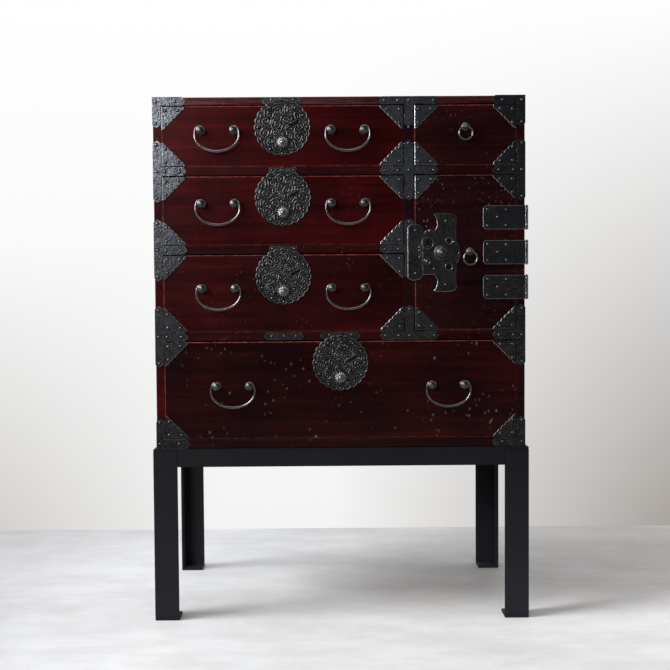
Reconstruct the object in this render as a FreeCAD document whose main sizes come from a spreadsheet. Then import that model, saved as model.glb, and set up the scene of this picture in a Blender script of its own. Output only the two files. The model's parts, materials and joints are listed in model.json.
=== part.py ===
"""Small tansu chest on a welded steel stand, in millimetres.

+X is to the right, +Y to the back and +Z up. The origin is on the floor, at the middle of the whole
object's bounding box. Boards, drawers, door, irons, locks, handles and stand are separate solids.
"""

import FreeCAD, Part

import math
import os

import Sketcher

SIZES = (
    # the stand: angle legs under a mitred frame of angle
    ("stand_height", 287.6, "floor to the underside of the chest"),
    ("stand_overhang", 6.0, "stand beyond the chest on every side"),
    ("leg_flange", 40.0, "width of each flange of a leg"),
    ("leg_wall", 4.0, "thickness of a leg's flanges"),
    ("foot_thickness", 4.5, "square plate under each leg"),
    ("frame_flange", 30.0, "width of each flange of the top frame"),
    ("frame_wall", 3.0, "thickness of the top frame's flanges"),
    # the carcass
    ("chest_width", 613.0, "over the two sides"),
    ("chest_depth", 356.0, "front edge to back"),
    ("side_thickness", 13.5, "side board"),
    ("top_thickness", 13.6, "top board"),
    ("bottom_thickness", 16.2, "bottom board"),
    ("shelf_thickness", 15.7, "full-width shelf over the bottom drawer"),
    ("rail_thickness", 15.1, "dust boards between the other openings"),
    ("divider_thickness", 17.0, "upright between the two columns"),
    ("back_thickness", 9.0, "back panel"),
    ("housing_depth", 5.0, "how far a shelf enters the board beside it"),
    ("corner_fingers", 7.0, "box-joint fingers along each outer corner"),
    ("right_opening_width", 169.5, "inside width of the right column"),
    ("drawer_1_opening", 100.1, "height of the top opening"),
    ("drawer_2_opening", 114.5, "height of the second opening"),
    ("drawer_3_opening", 128.1, "height of the third opening"),
    ("drawer_4_opening", 162.6, "height of the bottom opening"),
    # the drawers
    ("front_proud", 1.3, "drawer and door faces ahead of the carcass edges"),
    ("front_thickness", 18.0, "drawer front"),
    ("front_side_gap", 0.7, "drawer front to the boards beside it"),
    ("front_top_gap", 1.2, "drawer front to the board above it"),
    ("slide_gap", 0.3, "drawer to the board it slides on"),
    ("drawer_wall", 9.0, "drawer sides and back"),
    ("drawer_bottom", 6.0, "drawer bottom board"),
    ("drawer_lap", 8.0, "sides and bottom let into the drawer front"),
    ("drawer_side_drop", 6.0, "drawer sides below the top of the front"),
    ("drawer_back_gap", 8.0, "back of a drawer to the back panel"),
    ("wall_inset", 0.6, "drawer sides in from the ends of the front"),
    # the door
    ("door_thickness", 16.0, "door board"),
    ("door_gap", 1.0, "door to the frame round it"),
    # irons of the carcass and the corner plates
    ("iron_thickness", 1.0, "wrought sheet on the carcass"),
    ("iron_margin", 0.5, "iron in from the edges of the opening"),
    ("iron_wrap", 36.0, "iron round on to the sides and the top"),
    ("strap_reach", 51.0, "strap along a stile, from the middle of the arm"),
    ("corner_reach", 50.0, "strap of a corner iron, from the chest's top or bottom"),
    ("arm_reach", 54.0, "arm along a rail, from the outer edge"),
    ("arm_tip", 5.0, "length of the shaped end of an arm or strap"),
    ("divider_arm", 49.0, "arm to each side of the upright's middle"),
    ("divider_strap", 50.0, "strap along the upright, from the middle of the arm"),
    ("corner_leg", 39.0, "edge of a triangular corner plate"),
    ("corner_tip", 3.0, "blunt tip of a corner plate"),
    ("corner_belly", 2.0, "rise of a corner plate's long edge at its middle"),
    ("plate_thickness", 1.2, "corner plates, lock plates and hinge leaves"),
    # drawer locks
    ("lock_radius", 47.3, "outer radius of a round lock plate"),
    ("lock_scallop", 2.2, "depth of the scallops round its rim"),
    ("lock_lobes", 20.0, "lobes round its rim"),
    ("lock_overlap", 10.7, "lock plate over the rail above"),
    ("boss_radius", 11.4, "chrysanthemum boss on a lock plate"),
    ("boss_height", 7.0, "height of the boss with its bead"),
    ("boss_drop", 25.0, "boss below the middle of its plate"),
    ("boss_valley", 1.2, "depth of the valleys between its petals"),
    ("boss_slope", 1.6, "bevel round each of its two tiers"),
    ("boss_bead", 3.0, "radius of the bead on a boss"),
    ("petals", 16.0, "petals of a boss"),
    ("strike_height", 11.6, "strike plate behind the top of a lock plate"),
    ("strike_width", 46.0, "plain strike plate"),
    ("wide_strike_width", 68.0, "shaped plate over the locks of the top and bottom drawer"),
    # bail handles
    ("bail_half_width", 36.0, "middle of the bar at its widest, from the centre"),
    ("bail_drop", 35.2, "pivot to the middle of the grip"),
    ("bail_bar", 5.6, "bar at the grip, seen from the front"),
    ("bail_neck", 3.4, "bar beside the posts"),
    ("bail_depth", 5.0, "bar from front to back"),
    ("bail_shoulder", 2.9, "bar above the pivot axis"),
    ("bail_fullness", 2.5, "exponent of the bail's curve: 2 is an ellipse, more is squarer"),
    ("bail_facets", 16.0, "flats along the bail's curve"),
    ("bail_reach", 11.0, "pivot ahead of the drawer face"),
    ("bail_pin", 1.7, "radius of the pin at each end of a bail"),
    ("post_spacing", 53.5, "between the two posts of a bail"),
    ("post_washer", 7.8, "radius of the washer under a post"),
    ("washer_height", 2.0, "height of the washer"),
    ("washer_petals", 12.0, "flats round the washer"),
    ("eye_width", 4.2, "width of the eye of a post"),
    ("eye_wall", 1.9, "metal round the hole of an eye"),
    ("pin_overhang", 1.5, "pin beyond the eye"),
    ("pivot_clearance", 0.08, "between a pin and its hole"),
    ("bail_offset", 107.3, "bail from the middle of drawers 1 to 3"),
    ("wide_bail_offset", 178.5, "bail from the middle of drawer 4"),
    ("bail_1_depth", 41.4, "bail pivot below the top of opening 1"),
    ("bail_2_depth", 46.2, "bail pivot below the top of opening 2"),
    ("bail_3_depth", 56.3, "bail pivot below the top of opening 3"),
    ("bail_4_depth", 74.4, "bail pivot below the top of opening 4"),
    # ring pulls
    ("ring_radius", 11.0, "ring pull, to the middle of its bar"),
    ("ring_bar", 3.2, "bar of a ring pull"),
    ("ring_flats", 24.0, "flats round a ring pull"),
    ("ring_reach", 8.0, "pivot of a ring ahead of its door or drawer"),
    ("ring_clearance", 0.4, "between the curved bar of a ring and its eye"),
    ("ring_pull_depth", 37.4, "ring post below the top of the small opening"),
    ("door_ring_offset", 47.0, "ring post of the door, right of the lock's boss"),
    ("door_ring_rise", 1.4, "ring post of the door, above the door's middle"),
    # the door's lock
    ("door_lock_inset", 45.0, "boss of the door lock, from the left edge of its opening"),
    ("door_boss_radius", 13.0, "chrysanthemum boss of the door lock"),
    ("door_boss_height", 9.0, "height of that boss with its bead"),
    ("catch_width", 25.5, "narrow plate at the door's free edge"),
    ("catch_height", 94.0, "height of that plate"),
    ("catch_overlap", 11.5, "how far it covers the upright"),
    ("axe_half_height", 61.0, "axe-shaped lock plate, middle to its horns"),
    ("axe_neck", 34.5, "half height of that plate at its neck"),
    ("axe_right", 24.0, "edge of that plate to the right of the boss"),
    ("axe_horn", 15.5, "tips of its horns to the left of the boss"),
    # the door's hinges
    ("hinge_height", 39.0, "height of a hinge"),
    ("hinge_clear", 22.0, "free end of a front leaf, right of the door's ring post"),
    ("hinge_side_reach", 34.0, "side leaf from the front edge"),
    ("hinge_barrel", 2.8, "outer radius of a hinge barrel"),
    ("barrel_flats", 12.0, "hammered flats round a hinge barrel"),
    ("hinge_pin", 1.4, "radius of a hinge pin"),
    ("hinge_gap", 0.3, "between barrel and side, and between knuckles"),
    ("hinge_pitch", 57.5, "from one hinge to the next"),
    ("pin_end", 1.2, "hinge pin beyond its barrel at each end"),
    ("hinge_corner", 4.0, "chamfer at the free corners of a leaf"),
)

PLACES = (
    ("left_x", "-Sizes.chest_width / 2"),
    ("right_x", "Sizes.chest_width / 2"),
    ("eye_radius", "Sizes.bail_pin + Sizes.pivot_clearance + Sizes.eye_wall"),
    ("front_reach", "Sizes.front_proud + Sizes.bail_reach + eye_radius"),
    ("front_y", "(front_reach - Sizes.chest_depth - Sizes.stand_overhang) / 2"),
    ("face_y", "front_y - Sizes.front_proud"),
    ("back_y", "front_y + Sizes.chest_depth"),
    ("inner_depth", "Sizes.chest_depth - Sizes.back_thickness"),
    ("stand_half_width", "Sizes.chest_width / 2 + Sizes.stand_overhang"),
    ("stand_front_y", "front_y - Sizes.stand_overhang"),
    ("stand_back_y", "back_y + Sizes.stand_overhang"),
    ("drawer_4_z", "Sizes.stand_height + Sizes.bottom_thickness"),
    ("shelf_z", "drawer_4_z + Sizes.drawer_4_opening"),
    ("drawer_3_z", "shelf_z + Sizes.shelf_thickness"),
    ("rail_2_z", "drawer_3_z + Sizes.drawer_3_opening"),
    ("drawer_2_z", "rail_2_z + Sizes.rail_thickness"),
    ("rail_1_z", "drawer_2_z + Sizes.drawer_2_opening"),
    ("drawer_1_z", "rail_1_z + Sizes.rail_thickness"),
    ("top_board_z", "drawer_1_z + Sizes.drawer_1_opening"),
    ("chest_top_z", "top_board_z + Sizes.top_thickness"),
    ("chest_height", "chest_top_z - Sizes.stand_height"),
    ("opening_x", "left_x + Sizes.side_thickness"),
    ("right_edge_x", "right_x - Sizes.side_thickness"),
    ("right_opening_x", "right_edge_x - Sizes.right_opening_width"),
    ("divider_x", "right_opening_x - Sizes.divider_thickness"),
    ("left_opening_width", "divider_x - opening_x"),
    ("full_opening_width", "right_edge_x - opening_x"),
    ("door_height", "rail_1_z - drawer_3_z"),
    ("door_middle_z", "drawer_3_z + door_height / 2"),
    ("drawer_box_y", "face_y + Sizes.front_thickness - Sizes.drawer_lap"),
    ("drawer_back_y", "front_y + inner_depth - Sizes.drawer_back_gap"),
    ("bail_y", "face_y - Sizes.bail_reach"),
    ("ring_y", "face_y - Sizes.ring_reach"),
    ("hinge_x", "right_x + Sizes.hinge_gap + Sizes.hinge_barrel"),
    ("hinge_y", "face_y - Sizes.plate_thickness + Sizes.hinge_barrel"),
    ("left_column_x", "opening_x + left_opening_width / 2"),
    ("right_column_x", "right_opening_x + Sizes.right_opening_width / 2"),
    ("divider_middle_x", "divider_x + Sizes.divider_thickness / 2"),
    ("door_lock_x", "right_opening_x + Sizes.door_lock_inset"),
    ("door_ring_x", "door_lock_x + Sizes.door_ring_offset"),
    ("hinge_leaf_x", "door_ring_x + Sizes.hinge_clear"),
    ("catch_x", "right_opening_x - Sizes.catch_overlap"),
    ("knuckle", "(Sizes.hinge_height - 2 * Sizes.hinge_gap) / 3"),
)

HINGES = 3
BOSS_TIERS = (1.0, 0.68)  # outer radius of each tier of petals, as a share of the boss's

doc = FreeCAD.newDocument("TansuChest")
V = FreeCAD.Vector
nodes = {}


def fill_sheet(name, rows):
    """A spreadsheet with one alias a row, recomputed, and its values by alias."""
    sheet = doc.addObject("Spreadsheet::Sheet", name)
    for row, (alias, content, meaning) in enumerate(rows, start=1):
        sheet.set(f"A{row}", alias)
        sheet.set(f"B{row}", content)
        sheet.set(f"C{row}", meaning)
        sheet.setAlias(f"B{row}", alias)
    doc.recompute()
    return {alias: float(sheet.get(alias)) for alias, _, _ in rows}


size = fill_sheet("Sizes", [(alias, str(value), meaning) for alias, value, meaning in SIZES])
place = fill_sheet("Places", [(alias, "=" + formula, "") for alias, formula in PLACES])


# ---------------------------------------------------------------- helpers


def keep(name, item):
    """Register an object as the node of that name."""
    item.Label = name
    nodes[name] = item
    return item


def put(item, x, y, z):
    """Bind an object's place to three formulas."""
    item.setExpression("Placement.Base.x", x)
    item.setExpression("Placement.Base.y", y)
    item.setExpression("Placement.Base.z", z)


def board(name, x, y, z, length, depth, height):
    """A rectangular board with its low corner and its sizes bound to formulas."""
    box = doc.addObject("Part::Box", name)
    box.setExpression("Length", length)
    box.setExpression("Width", depth)
    box.setExpression("Height", height)
    put(box, x, y, z)
    return box


def group(name, items):
    """Several solids that stay separate."""
    compound = doc.addObject("Part::Compound", name)
    compound.Links = items
    return compound


def cut(name, base, tools):
    """The base with the tools' solids taken out of it."""
    result = doc.addObject("Part::Cut", name)
    result.Base = base
    result.Tool = tools[0] if len(tools) == 1 else group(name + "_tools", tools)
    return result


def new_body(name):
    body = doc.addObject("PartDesign::Body", name)
    body.AllowCompound = True
    return body


def new_sketch(body, role, name, offset="0"):
    """A sketch on one of the body's own origin planes, offset along the plane's normal."""
    sketch = body.newObject("Sketcher::SketchObject", name)
    plane = next(item for item in body.Origin.OriginFeatures if item.Role == role)
    sketch.AttachmentSupport = (plane, [""])
    sketch.MapMode = "FlatFace"
    sketch.setExpression("AttachmentOffset.Base.z", offset)
    return sketch


def draw(sketch, points):
    """Add one closed outline. A point is (x, y, bulge): the bulge of the edge that leaves it is the
    arc's rise over half its chord, positive outwards on an anticlockwise outline, 0 for a line."""
    edges = []
    for (x0, y0, bulge), (x1, y1, _) in zip(points, points[1:] + points[:1]):
        start = V(x0, y0, 0)
        end = V(x1, y1, 0)
        if bulge:
            middle = (start + end) * 0.5 + V(y1 - y0, x0 - x1, 0) * (bulge * 0.5)
            edges.append(Part.Arc(start, middle, end))
        else:
            edges.append(Part.LineSegment(start, end))
    sketch.addGeometry(edges, False)
    sketch.detectMissingPointOnPointConstraints()
    sketch.makeMissingPointOnPointCoincident()


def draw_circle(sketch, x, y, radius):
    sketch.addGeometry(Part.Circle(V(x, y, 0), V(0, 0, 1), radius), False)


def moved(points, x, y, flip_x=1, flip_y=1):
    """An outline mirrored about its own axes if asked, then moved."""
    return [(x + flip_x * px, y + flip_y * py, flip_x * flip_y * b) for px, py, b in points]


def pad(body, sketch, name, length, back=False):
    feature = body.newObject("PartDesign::Pad", name)
    feature.Profile = sketch
    feature.setExpression("Length", length)
    feature.Reversed = back
    return feature


def rectangle(x0, y0, x1, y1):
    return [(x0, y0, 0), (x1, y0, 0), (x1, y1, 0), (x0, y1, 0)]


def rosette(count, radius, valley=0.0):
    """Straight-sided outline with count tips at that radius and, where valley is given, as many
    dips that much nearer the middle."""
    turns = 2 * count if valley else count
    points = []
    for i in range(turns):
        reach = radius - valley if valley and i % 2 else radius
        angle = 2 * math.pi * i / turns
        points.append((reach * math.cos(angle), reach * math.sin(angle), 0))
    return points


# ---------------------------------------------------------------- steel stand


def angle_outline():
    """Section of a leg, with its outer corner at 0, 0."""
    flange = size["leg_flange"]
    wall = size["leg_wall"]
    return [(0, 0, 0), (flange, 0, 0), (flange, wall, 0), (wall, wall, 0),
            (wall, flange, 0), (0, flange, 0)]


def stand_corners():
    """Outer corners of the stand in plan, each with the directions that lead inwards."""
    half = place["stand_half_width"]
    for side in (1, -1):
        yield -side * half, place["stand_front_y"], side, 1
        yield -side * half, place["stand_back_y"], side, -1


def make_stand():
    legs = keep("stand_legs", new_body("stand_legs"))
    section = new_sketch(legs, "XY_Plane", "leg_section", "Sizes.foot_thickness")
    for x, y, inwards_x, inwards_y in stand_corners():
        draw(section, moved(angle_outline(), x, y, inwards_x, inwards_y))
    pad(legs, section, "leg_length",
        "Sizes.stand_height - Sizes.frame_wall - Sizes.foot_thickness")

    feet = keep("stand_feet", new_body("stand_feet"))
    soles = new_sketch(feet, "XY_Plane", "foot_outline")
    for x, y, inwards_x, inwards_y in stand_corners():
        square = rectangle(0, 0, size["leg_flange"], size["leg_flange"])
        draw(soles, moved(square, x, y, inwards_x, inwards_y))
    pad(feet, soles, "foot_plate", "Sizes.foot_thickness")

    half = place["stand_half_width"]
    middle_y = (place["stand_front_y"] + place["stand_back_y"]) / 2
    half_depth = (place["stand_back_y"] - place["stand_front_y"]) / 2
    make_frame_rails("stand_rails_long", middle_y, half, half_depth, along_x=True)
    make_frame_rails("stand_rails_side", middle_y, half_depth, half, along_x=False)


def make_frame_rails(name, middle_y, half_length, half_across, along_x):
    """Two opposite rails of angle: a mitred flange on top, a flange hanging between the legs."""
    flange = size["frame_flange"]
    leg = size["leg_flange"]
    wall = size["frame_wall"]
    body = keep(name, new_body(name))
    tops = new_sketch(body, "XY_Plane", name + "_top", "Sizes.stand_height - Sizes.frame_wall")
    skirts = new_sketch(body, "XY_Plane", name + "_skirt",
                        "Sizes.stand_height - Sizes.frame_flange")
    mitred = [(-half_length, 0, 0), (half_length, 0, 0),
              (half_length - flange, flange, 0), (flange - half_length, flange, 0)]
    hanging = rectangle(leg - half_length, 0, half_length - leg, wall)
    for side in (-1, 1):
        for sketch, shape in ((tops, mitred), (skirts, hanging)):
            across = moved(shape, 0, side * half_across, 1, -side)
            if not along_x:
                across = [(y, x, -bulge) for x, y, bulge in across]
            draw(sketch, moved(across, 0, middle_y))
    pad(body, tops, name + "_flange", "Sizes.frame_wall")
    pad(body, skirts, name + "_web", "Sizes.frame_flange - Sizes.frame_wall")


# ---------------------------------------------------------------- carcass


def finger_blocks(name, x, z, height):
    """The places along one outer corner where the side board shows through the joint."""
    count = round(size["corner_fingers"])
    blocks = []
    for i in range(0, count, 2):
        step = f"Sizes.chest_depth / {count}"
        blocks.append(board(f"{name}_{i}", x, f"Places.front_y + {i} * {step}", z,
                            "Sizes.side_thickness", step, height))
    return blocks


def shelf(name, x, z, length, thickness):
    """A board that slides on into housings in the boards at both its ends."""
    return board(name, f"{x} - Sizes.housing_depth", "Places.front_y", z,
                 f"{length} + 2 * Sizes.housing_depth", "Places.inner_depth", thickness)


def make_carcass():
    top = board("top_blank", "Places.left_x", "Places.front_y", "Places.top_board_z",
                "Sizes.chest_width", "Sizes.chest_depth", "Sizes.top_thickness")
    bottom = board("bottom_blank", "Places.left_x", "Places.front_y", "Sizes.stand_height",
                   "Sizes.chest_width", "Sizes.chest_depth", "Sizes.bottom_thickness")
    divider = board("divider_blank", "Places.divider_x", "Places.front_y",
                    "Places.drawer_3_z - Sizes.housing_depth", "Sizes.divider_thickness",
                    "Places.inner_depth",
                    "Places.top_board_z - Places.drawer_3_z + 2 * Sizes.housing_depth")

    upper_left = shelf("left_shelf_upper", "Places.opening_x", "Places.rail_1_z",
                       "Places.left_opening_width", "Sizes.rail_thickness")
    lower_left = shelf("left_shelf_lower", "Places.opening_x", "Places.rail_2_z",
                       "Places.left_opening_width", "Sizes.rail_thickness")
    right = shelf("right_shelf", "Places.right_opening_x", "Places.rail_1_z",
                  "Sizes.right_opening_width", "Sizes.rail_thickness")
    wide = shelf("wide_shelf_blank", "Places.opening_x", "Places.shelf_z",
                 "Places.full_opening_width", "Sizes.shelf_thickness")

    top_fingers = []
    bottom_fingers = []
    for end, x in (("left", "Places.left_x"), ("right", "Places.right_edge_x")):
        top_fingers += finger_blocks(f"top_{end}_finger", x, "Places.top_board_z",
                                     "Sizes.top_thickness")
        bottom_fingers += finger_blocks(f"bottom_{end}_finger", x, "Sizes.stand_height",
                                        "Sizes.bottom_thickness")
    top_board = keep("top_board", cut("top_board", top, top_fingers + [divider]))
    bottom_board = keep("bottom_board", cut("bottom_board", bottom, bottom_fingers))
    wide_shelf = keep("wide_shelf", cut("wide_shelf", wide, [divider]))
    keep("left_shelf_upper", upper_left)
    keep("left_shelf_lower", lower_left)
    keep("right_shelf", right)
    keep("column_divider", cut("column_divider", divider, [upper_left, lower_left, right]))

    for name, x in (("side_left", "Places.left_x"), ("side_right", "Places.right_edge_x")):
        blank = board(name + "_blank", x, "Places.front_y", "Sizes.stand_height",
                      "Sizes.side_thickness", "Sizes.chest_depth", "Places.chest_height")
        housed = [top_board, bottom_board, wide_shelf]
        housed += [upper_left, lower_left] if name == "side_left" else [right]
        keep(name, cut(name, blank, housed))

    keep("back_panel", board("back_panel", "Places.opening_x",
                             "Places.front_y + Places.inner_depth", "Places.drawer_4_z",
                             "Places.full_opening_width", "Sizes.back_thickness",
                             "Places.top_board_z - Places.drawer_4_z"))


# ---------------------------------------------------------------- fittings made once, used often


def link_to(master, name, x, y, z, turn=0):
    """A copy of a master at a bound place, turned about Y by that many degrees."""
    link = doc.addObject("App::Link", name)
    link.LinkedObject = master
    link.Placement = FreeCAD.Placement(V(0, 0, 0), FreeCAD.Rotation(V(0, 1, 0), turn))
    put(link, x, y, z)
    return link


def make_corner_plate():
    """Triangular plate for an upper left corner, its corner at the origin."""
    leg = size["corner_leg"]
    tip = size["corner_tip"]
    bulge = size["corner_belly"] / ((leg - tip) / math.sqrt(2))
    body = new_body("corner_plate")
    sketch = new_sketch(body, "XZ_Plane", "corner_plate_outline")
    draw(sketch, [(0, 0, 0), (0, -leg, 0), (tip, -leg, bulge), (leg, -tip, 0), (leg, 0, 0)])
    pad(body, sketch, "corner_plate_sheet", "Sizes.plate_thickness")
    return body


def make_lock_plate():
    """Round plate with a lobed rim, its middle at the origin and its back on the XZ plane."""
    body = new_body("lock_plate")
    sketch = new_sketch(body, "XZ_Plane", "lock_plate_rim")
    draw(sketch, rosette(round(size["lock_lobes"]), size["lock_radius"], size["lock_scallop"]))
    pad(body, sketch, "lock_plate_sheet", "Sizes.plate_thickness")
    return body


def make_boss(name, radius, height):
    """Chrysanthemum boss on the XZ plane: two tiers of petals under a bead."""
    petals = round(size["petals"])
    valley = size["boss_valley"]
    tier = f"({height} - Sizes.boss_slope) / 2"
    body = new_body(name)
    for i, share in enumerate(BOSS_TIERS):
        ring = new_sketch(body, "XZ_Plane", f"{name}_petals_{i}", f"{i} * {tier}")
        draw(ring, rosette(petals, share * radius, valley))
        pad(body, ring, f"{name}_tier_{i}", tier)
    top = new_sketch(body, "XZ_Plane", f"{name}_bead_outline", f"2 * {tier}")
    draw(top, rosette(petals, size["boss_bead"]))
    pad(body, top, f"{name}_bead", "Sizes.boss_slope")
    return body


def bail_curve(half, drop, way):
    """Points of one edge of the bail's curve, from -way * half round to way * half."""
    facets = round(size["bail_facets"])
    power = 2 / size["bail_fullness"]
    points = []
    for i in range(facets + 1):
        angle = math.pi * i / facets
        x = -way * half * math.copysign(abs(math.cos(angle)) ** power, math.cos(angle))
        points.append((x, -drop * math.sin(angle) ** power, 0))
    return points


def make_bail():
    """Bail handle, hanging from its pivot axis, which is the body's X axis."""
    neck = size["bail_neck"] / 2
    grip = size["bail_bar"] / 2
    half = size["bail_half_width"]
    drop = size["bail_drop"]
    top = size["bail_shoulder"]
    body = new_body("bail")
    sketch = new_sketch(body, "XZ_Plane", "bail_outline", "-Sizes.bail_depth / 2")
    outer = bail_curve(half + neck, drop + grip, 1)
    inner = bail_curve(half - neck, drop - grip, -1)
    tops = [(half + neck, top, 0), (half - neck, top, 0)]
    draw(sketch, outer + tops + inner + [(-x, z, 0) for x, z, _ in reversed(tops)])
    pad(body, sketch, "bail_bar", "Sizes.bail_depth")
    pin_start = "Sizes.post_spacing / 2 - Sizes.eye_width / 2 - Sizes.pin_overhang"
    pin_length = f"Sizes.bail_half_width - ({pin_start})"
    for name, offset in (("left", "-Sizes.bail_half_width"), ("right", pin_start)):
        circle = new_sketch(body, "YZ_Plane", f"bail_pin_{name}_end", offset)
        draw_circle(circle, 0, 0, size["bail_pin"])
        pad(body, circle, f"bail_pin_{name}", pin_length)
    return body


def make_post(name, reach, hole_radius):
    """Post with a flat eye on a washer, its back on the XZ plane, its eye's hole along X."""
    outer = hole_radius + size["eye_wall"]
    bevel = outer * math.tan(math.pi / 8)
    body = new_body(name)
    washer = new_sketch(body, "XZ_Plane", name + "_washer_outline")
    draw(washer, rosette(round(size["washer_petals"]), size["post_washer"]))
    pad(body, washer, name + "_washer", "Sizes.washer_height")
    profile = new_sketch(body, "YZ_Plane", name + "_side", "-Sizes.eye_width / 2")
    draw(profile, [(0, -outer, 0), (0, outer, 0), (-reach - bevel, outer, 0),
                   (-reach - outer, bevel, 0), (-reach - outer, -bevel, 0),
                   (-reach - bevel, -outer, 0)])
    draw_circle(profile, -reach, 0, hole_radius)
    pad(body, profile, name + "_eye", "Sizes.eye_width")
    return body


def make_ring(name):
    """Ring pull, its middle at the origin, standing in the XZ plane."""
    body = new_body(name)
    outline = new_sketch(body, "XZ_Plane", name + "_outline", "-Sizes.ring_bar / 2")
    for edge in (size["ring_bar"] / 2, -size["ring_bar"] / 2):
        draw(outline, rosette(round(size["ring_flats"]), size["ring_radius"] + edge))
    pad(body, outline, name + "_bar", "Sizes.ring_bar")
    return body


corner_plate = make_corner_plate()
lock_plate = make_lock_plate()
boss = make_boss("boss", size["boss_radius"], "Sizes.boss_height")
bail = make_bail()
bail_post = make_post("bail_post", size["bail_reach"],
                      size["bail_pin"] + size["pivot_clearance"])
ring_post = make_post("ring_post", size["ring_reach"],
                      size["ring_bar"] / math.sqrt(2) + size["ring_clearance"])


def corner_plates(name, x, z, width, height):
    """Four plates on the corners of a front that starts at x, z."""
    corners = ((x, f"{z} + {height}", 0), (f"{x} + {width}", f"{z} + {height}", 90),
               (f"{x} + {width}", z, 180), (x, z, 270))
    plates = []
    for i, (corner_x, corner_z, turn) in enumerate(corners):
        plates.append(link_to(corner_plate, f"{name}_{i}", corner_x, "Places.face_y",
                              corner_z, turn))
    keep(name, group(name, plates))


# ---------------------------------------------------------------- drawers


def make_drawer(name, x, z, width, height):
    """A front with the box's two sides, back and bottom let into it."""
    front_x = f"{x} + Sizes.front_side_gap"
    front_width = f"{width} - 2 * Sizes.front_side_gap"
    low_z = f"{z} + Sizes.slide_gap"
    front_height = f"{height} - Sizes.slide_gap - Sizes.front_top_gap"
    side_height = f"{front_height} - Sizes.drawer_side_drop"
    box_depth = "Places.drawer_back_y - Places.drawer_box_y"
    inner_x = f"{front_x} + Sizes.wall_inset + Sizes.drawer_wall"
    inner_width = f"{front_width} - 2 * Sizes.wall_inset - 2 * Sizes.drawer_wall"

    front = board(name + "_front_blank", front_x, "Places.face_y", low_z,
                  front_width, "Sizes.front_thickness", front_height)
    left = board(name + "_side_left", f"{front_x} + Sizes.wall_inset", "Places.drawer_box_y",
                 low_z, "Sizes.drawer_wall", box_depth, side_height)
    right = board(name + "_side_right", f"{inner_x} + {inner_width}", "Places.drawer_box_y",
                  low_z, "Sizes.drawer_wall", box_depth, side_height)
    bottom = board(name + "_bottom", inner_x, "Places.drawer_box_y", low_z,
                   inner_width, box_depth, "Sizes.drawer_bottom")
    back = board(name + "_back", inner_x, "Places.drawer_back_y - Sizes.drawer_wall",
                 f"{low_z} + Sizes.drawer_bottom", inner_width, "Sizes.drawer_wall",
                 f"{side_height} - Sizes.drawer_bottom")
    box = keep(name + "_box", group(name + "_box", [left, right, bottom, back]))
    keep(name + "_front", cut(name + "_front", front, [box]))
    corner_plates(name + "_corner_plates", front_x, low_z, front_width, front_height)


def add_lock(name, x, top_z):
    """Lock plate that laps the rail above the opening, with its boss."""
    lock_z = f"{top_z} + Sizes.lock_overlap - Sizes.lock_radius"
    plate = link_to(lock_plate, name + "_plate", x, "Places.face_y", lock_z)
    dome = link_to(boss, name + "_boss", x, "Places.face_y - Sizes.plate_thickness",
                   f"{lock_z} - Sizes.boss_drop")
    keep(name, group(name, [plate, dome]))


def add_bails(name, x, z, offset):
    """Two bail handles and their four posts."""
    posts = []
    for side, sign in (("left", "-"), ("right", "+")):
        bail_x = f"{x} {sign} {offset}"
        handle = link_to(bail, f"{name}_bail_{side}_link", bail_x, "Places.bail_y", z)
        keep(f"{name}_bail_{side}", group(f"{name}_bail_{side}", [handle]))
        for end in ("-", "+"):
            posts.append(link_to(bail_post, f"{name}_post_{side}", f"{bail_x} {end} "
                                 "Sizes.post_spacing / 2", "Places.face_y", z))
    keep(name + "_bail_posts", group(name + "_bail_posts", posts))


def add_ring(name, x, z):
    """A ring pull that hangs in the eye of its post."""
    ring = keep(name + "_ring", make_ring(name + "_ring"))
    put(ring, x, "Places.ring_y", f"{z} - Sizes.ring_radius")
    post = link_to(ring_post, name + "_ring_post_link", x, "Places.face_y", z)
    keep(name + "_ring_post", group(name + "_ring_post", [post]))


def make_drawers():
    for number in (1, 2, 3, 4):
        name = f"drawer_{number}"
        height = f"Sizes.drawer_{number}_opening"
        top_z = f"Places.drawer_{number}_z + {height}"
        wide = number == 4
        width = "Places.full_opening_width" if wide else "Places.left_opening_width"
        offset = "Sizes.wide_bail_offset" if wide else "Sizes.bail_offset"
        middle_x = "0" if wide else "Places.left_column_x"
        make_drawer(name, "Places.opening_x", f"Places.drawer_{number}_z", width, height)
        add_lock(name + "_lock", middle_x, top_z)
        add_bails(name, middle_x, f"{top_z} - Sizes.bail_{number}_depth", offset)
    make_drawer("small_drawer", "Places.right_opening_x", "Places.drawer_1_z",
                "Sizes.right_opening_width", "Sizes.drawer_1_opening")
    add_ring("small_drawer", "Places.right_column_x",
             "Places.top_board_z - Sizes.ring_pull_depth")


# ---------------------------------------------------------------- irons of the carcass


def iron_outline(x0, x1, z0, z1, left=0, right=0, down=0, up=0):
    """A crossing from x0, z0 to x1, z1 with a pointed arm on each side that has a length."""
    tip = size["arm_tip"]
    middle_x = (x0 + x1) / 2
    middle_z = (z0 + z1) / 2
    points = [(x1, z0, 0)]
    if right:
        points += [(x1 + right - tip, z0, 0), (x1 + right, middle_z, 0), (x1 + right - tip, z1, 0)]
    points.append((x1, z1, 0))
    if up:
        points += [(x1, z1 + up - tip, 0), (middle_x, z1 + up, 0), (x0, z1 + up - tip, 0)]
    points.append((x0, z1, 0))
    if left:
        points += [(x0 - left + tip, z1, 0), (x0 - left, middle_z, 0), (x0 - left + tip, z0, 0)]
    points.append((x0, z0, 0))
    if down:
        points += [(x0, z0 - down + tip, 0), (middle_x, z0 - down, 0), (x1, z0 - down + tip, 0)]
    return points


def rail_span(place_name, thickness):
    """Low and high edge of an arm on the front edge of a shelf."""
    low = place[place_name]
    return low + size["iron_margin"], low + size[thickness] - size["iron_margin"]


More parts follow.
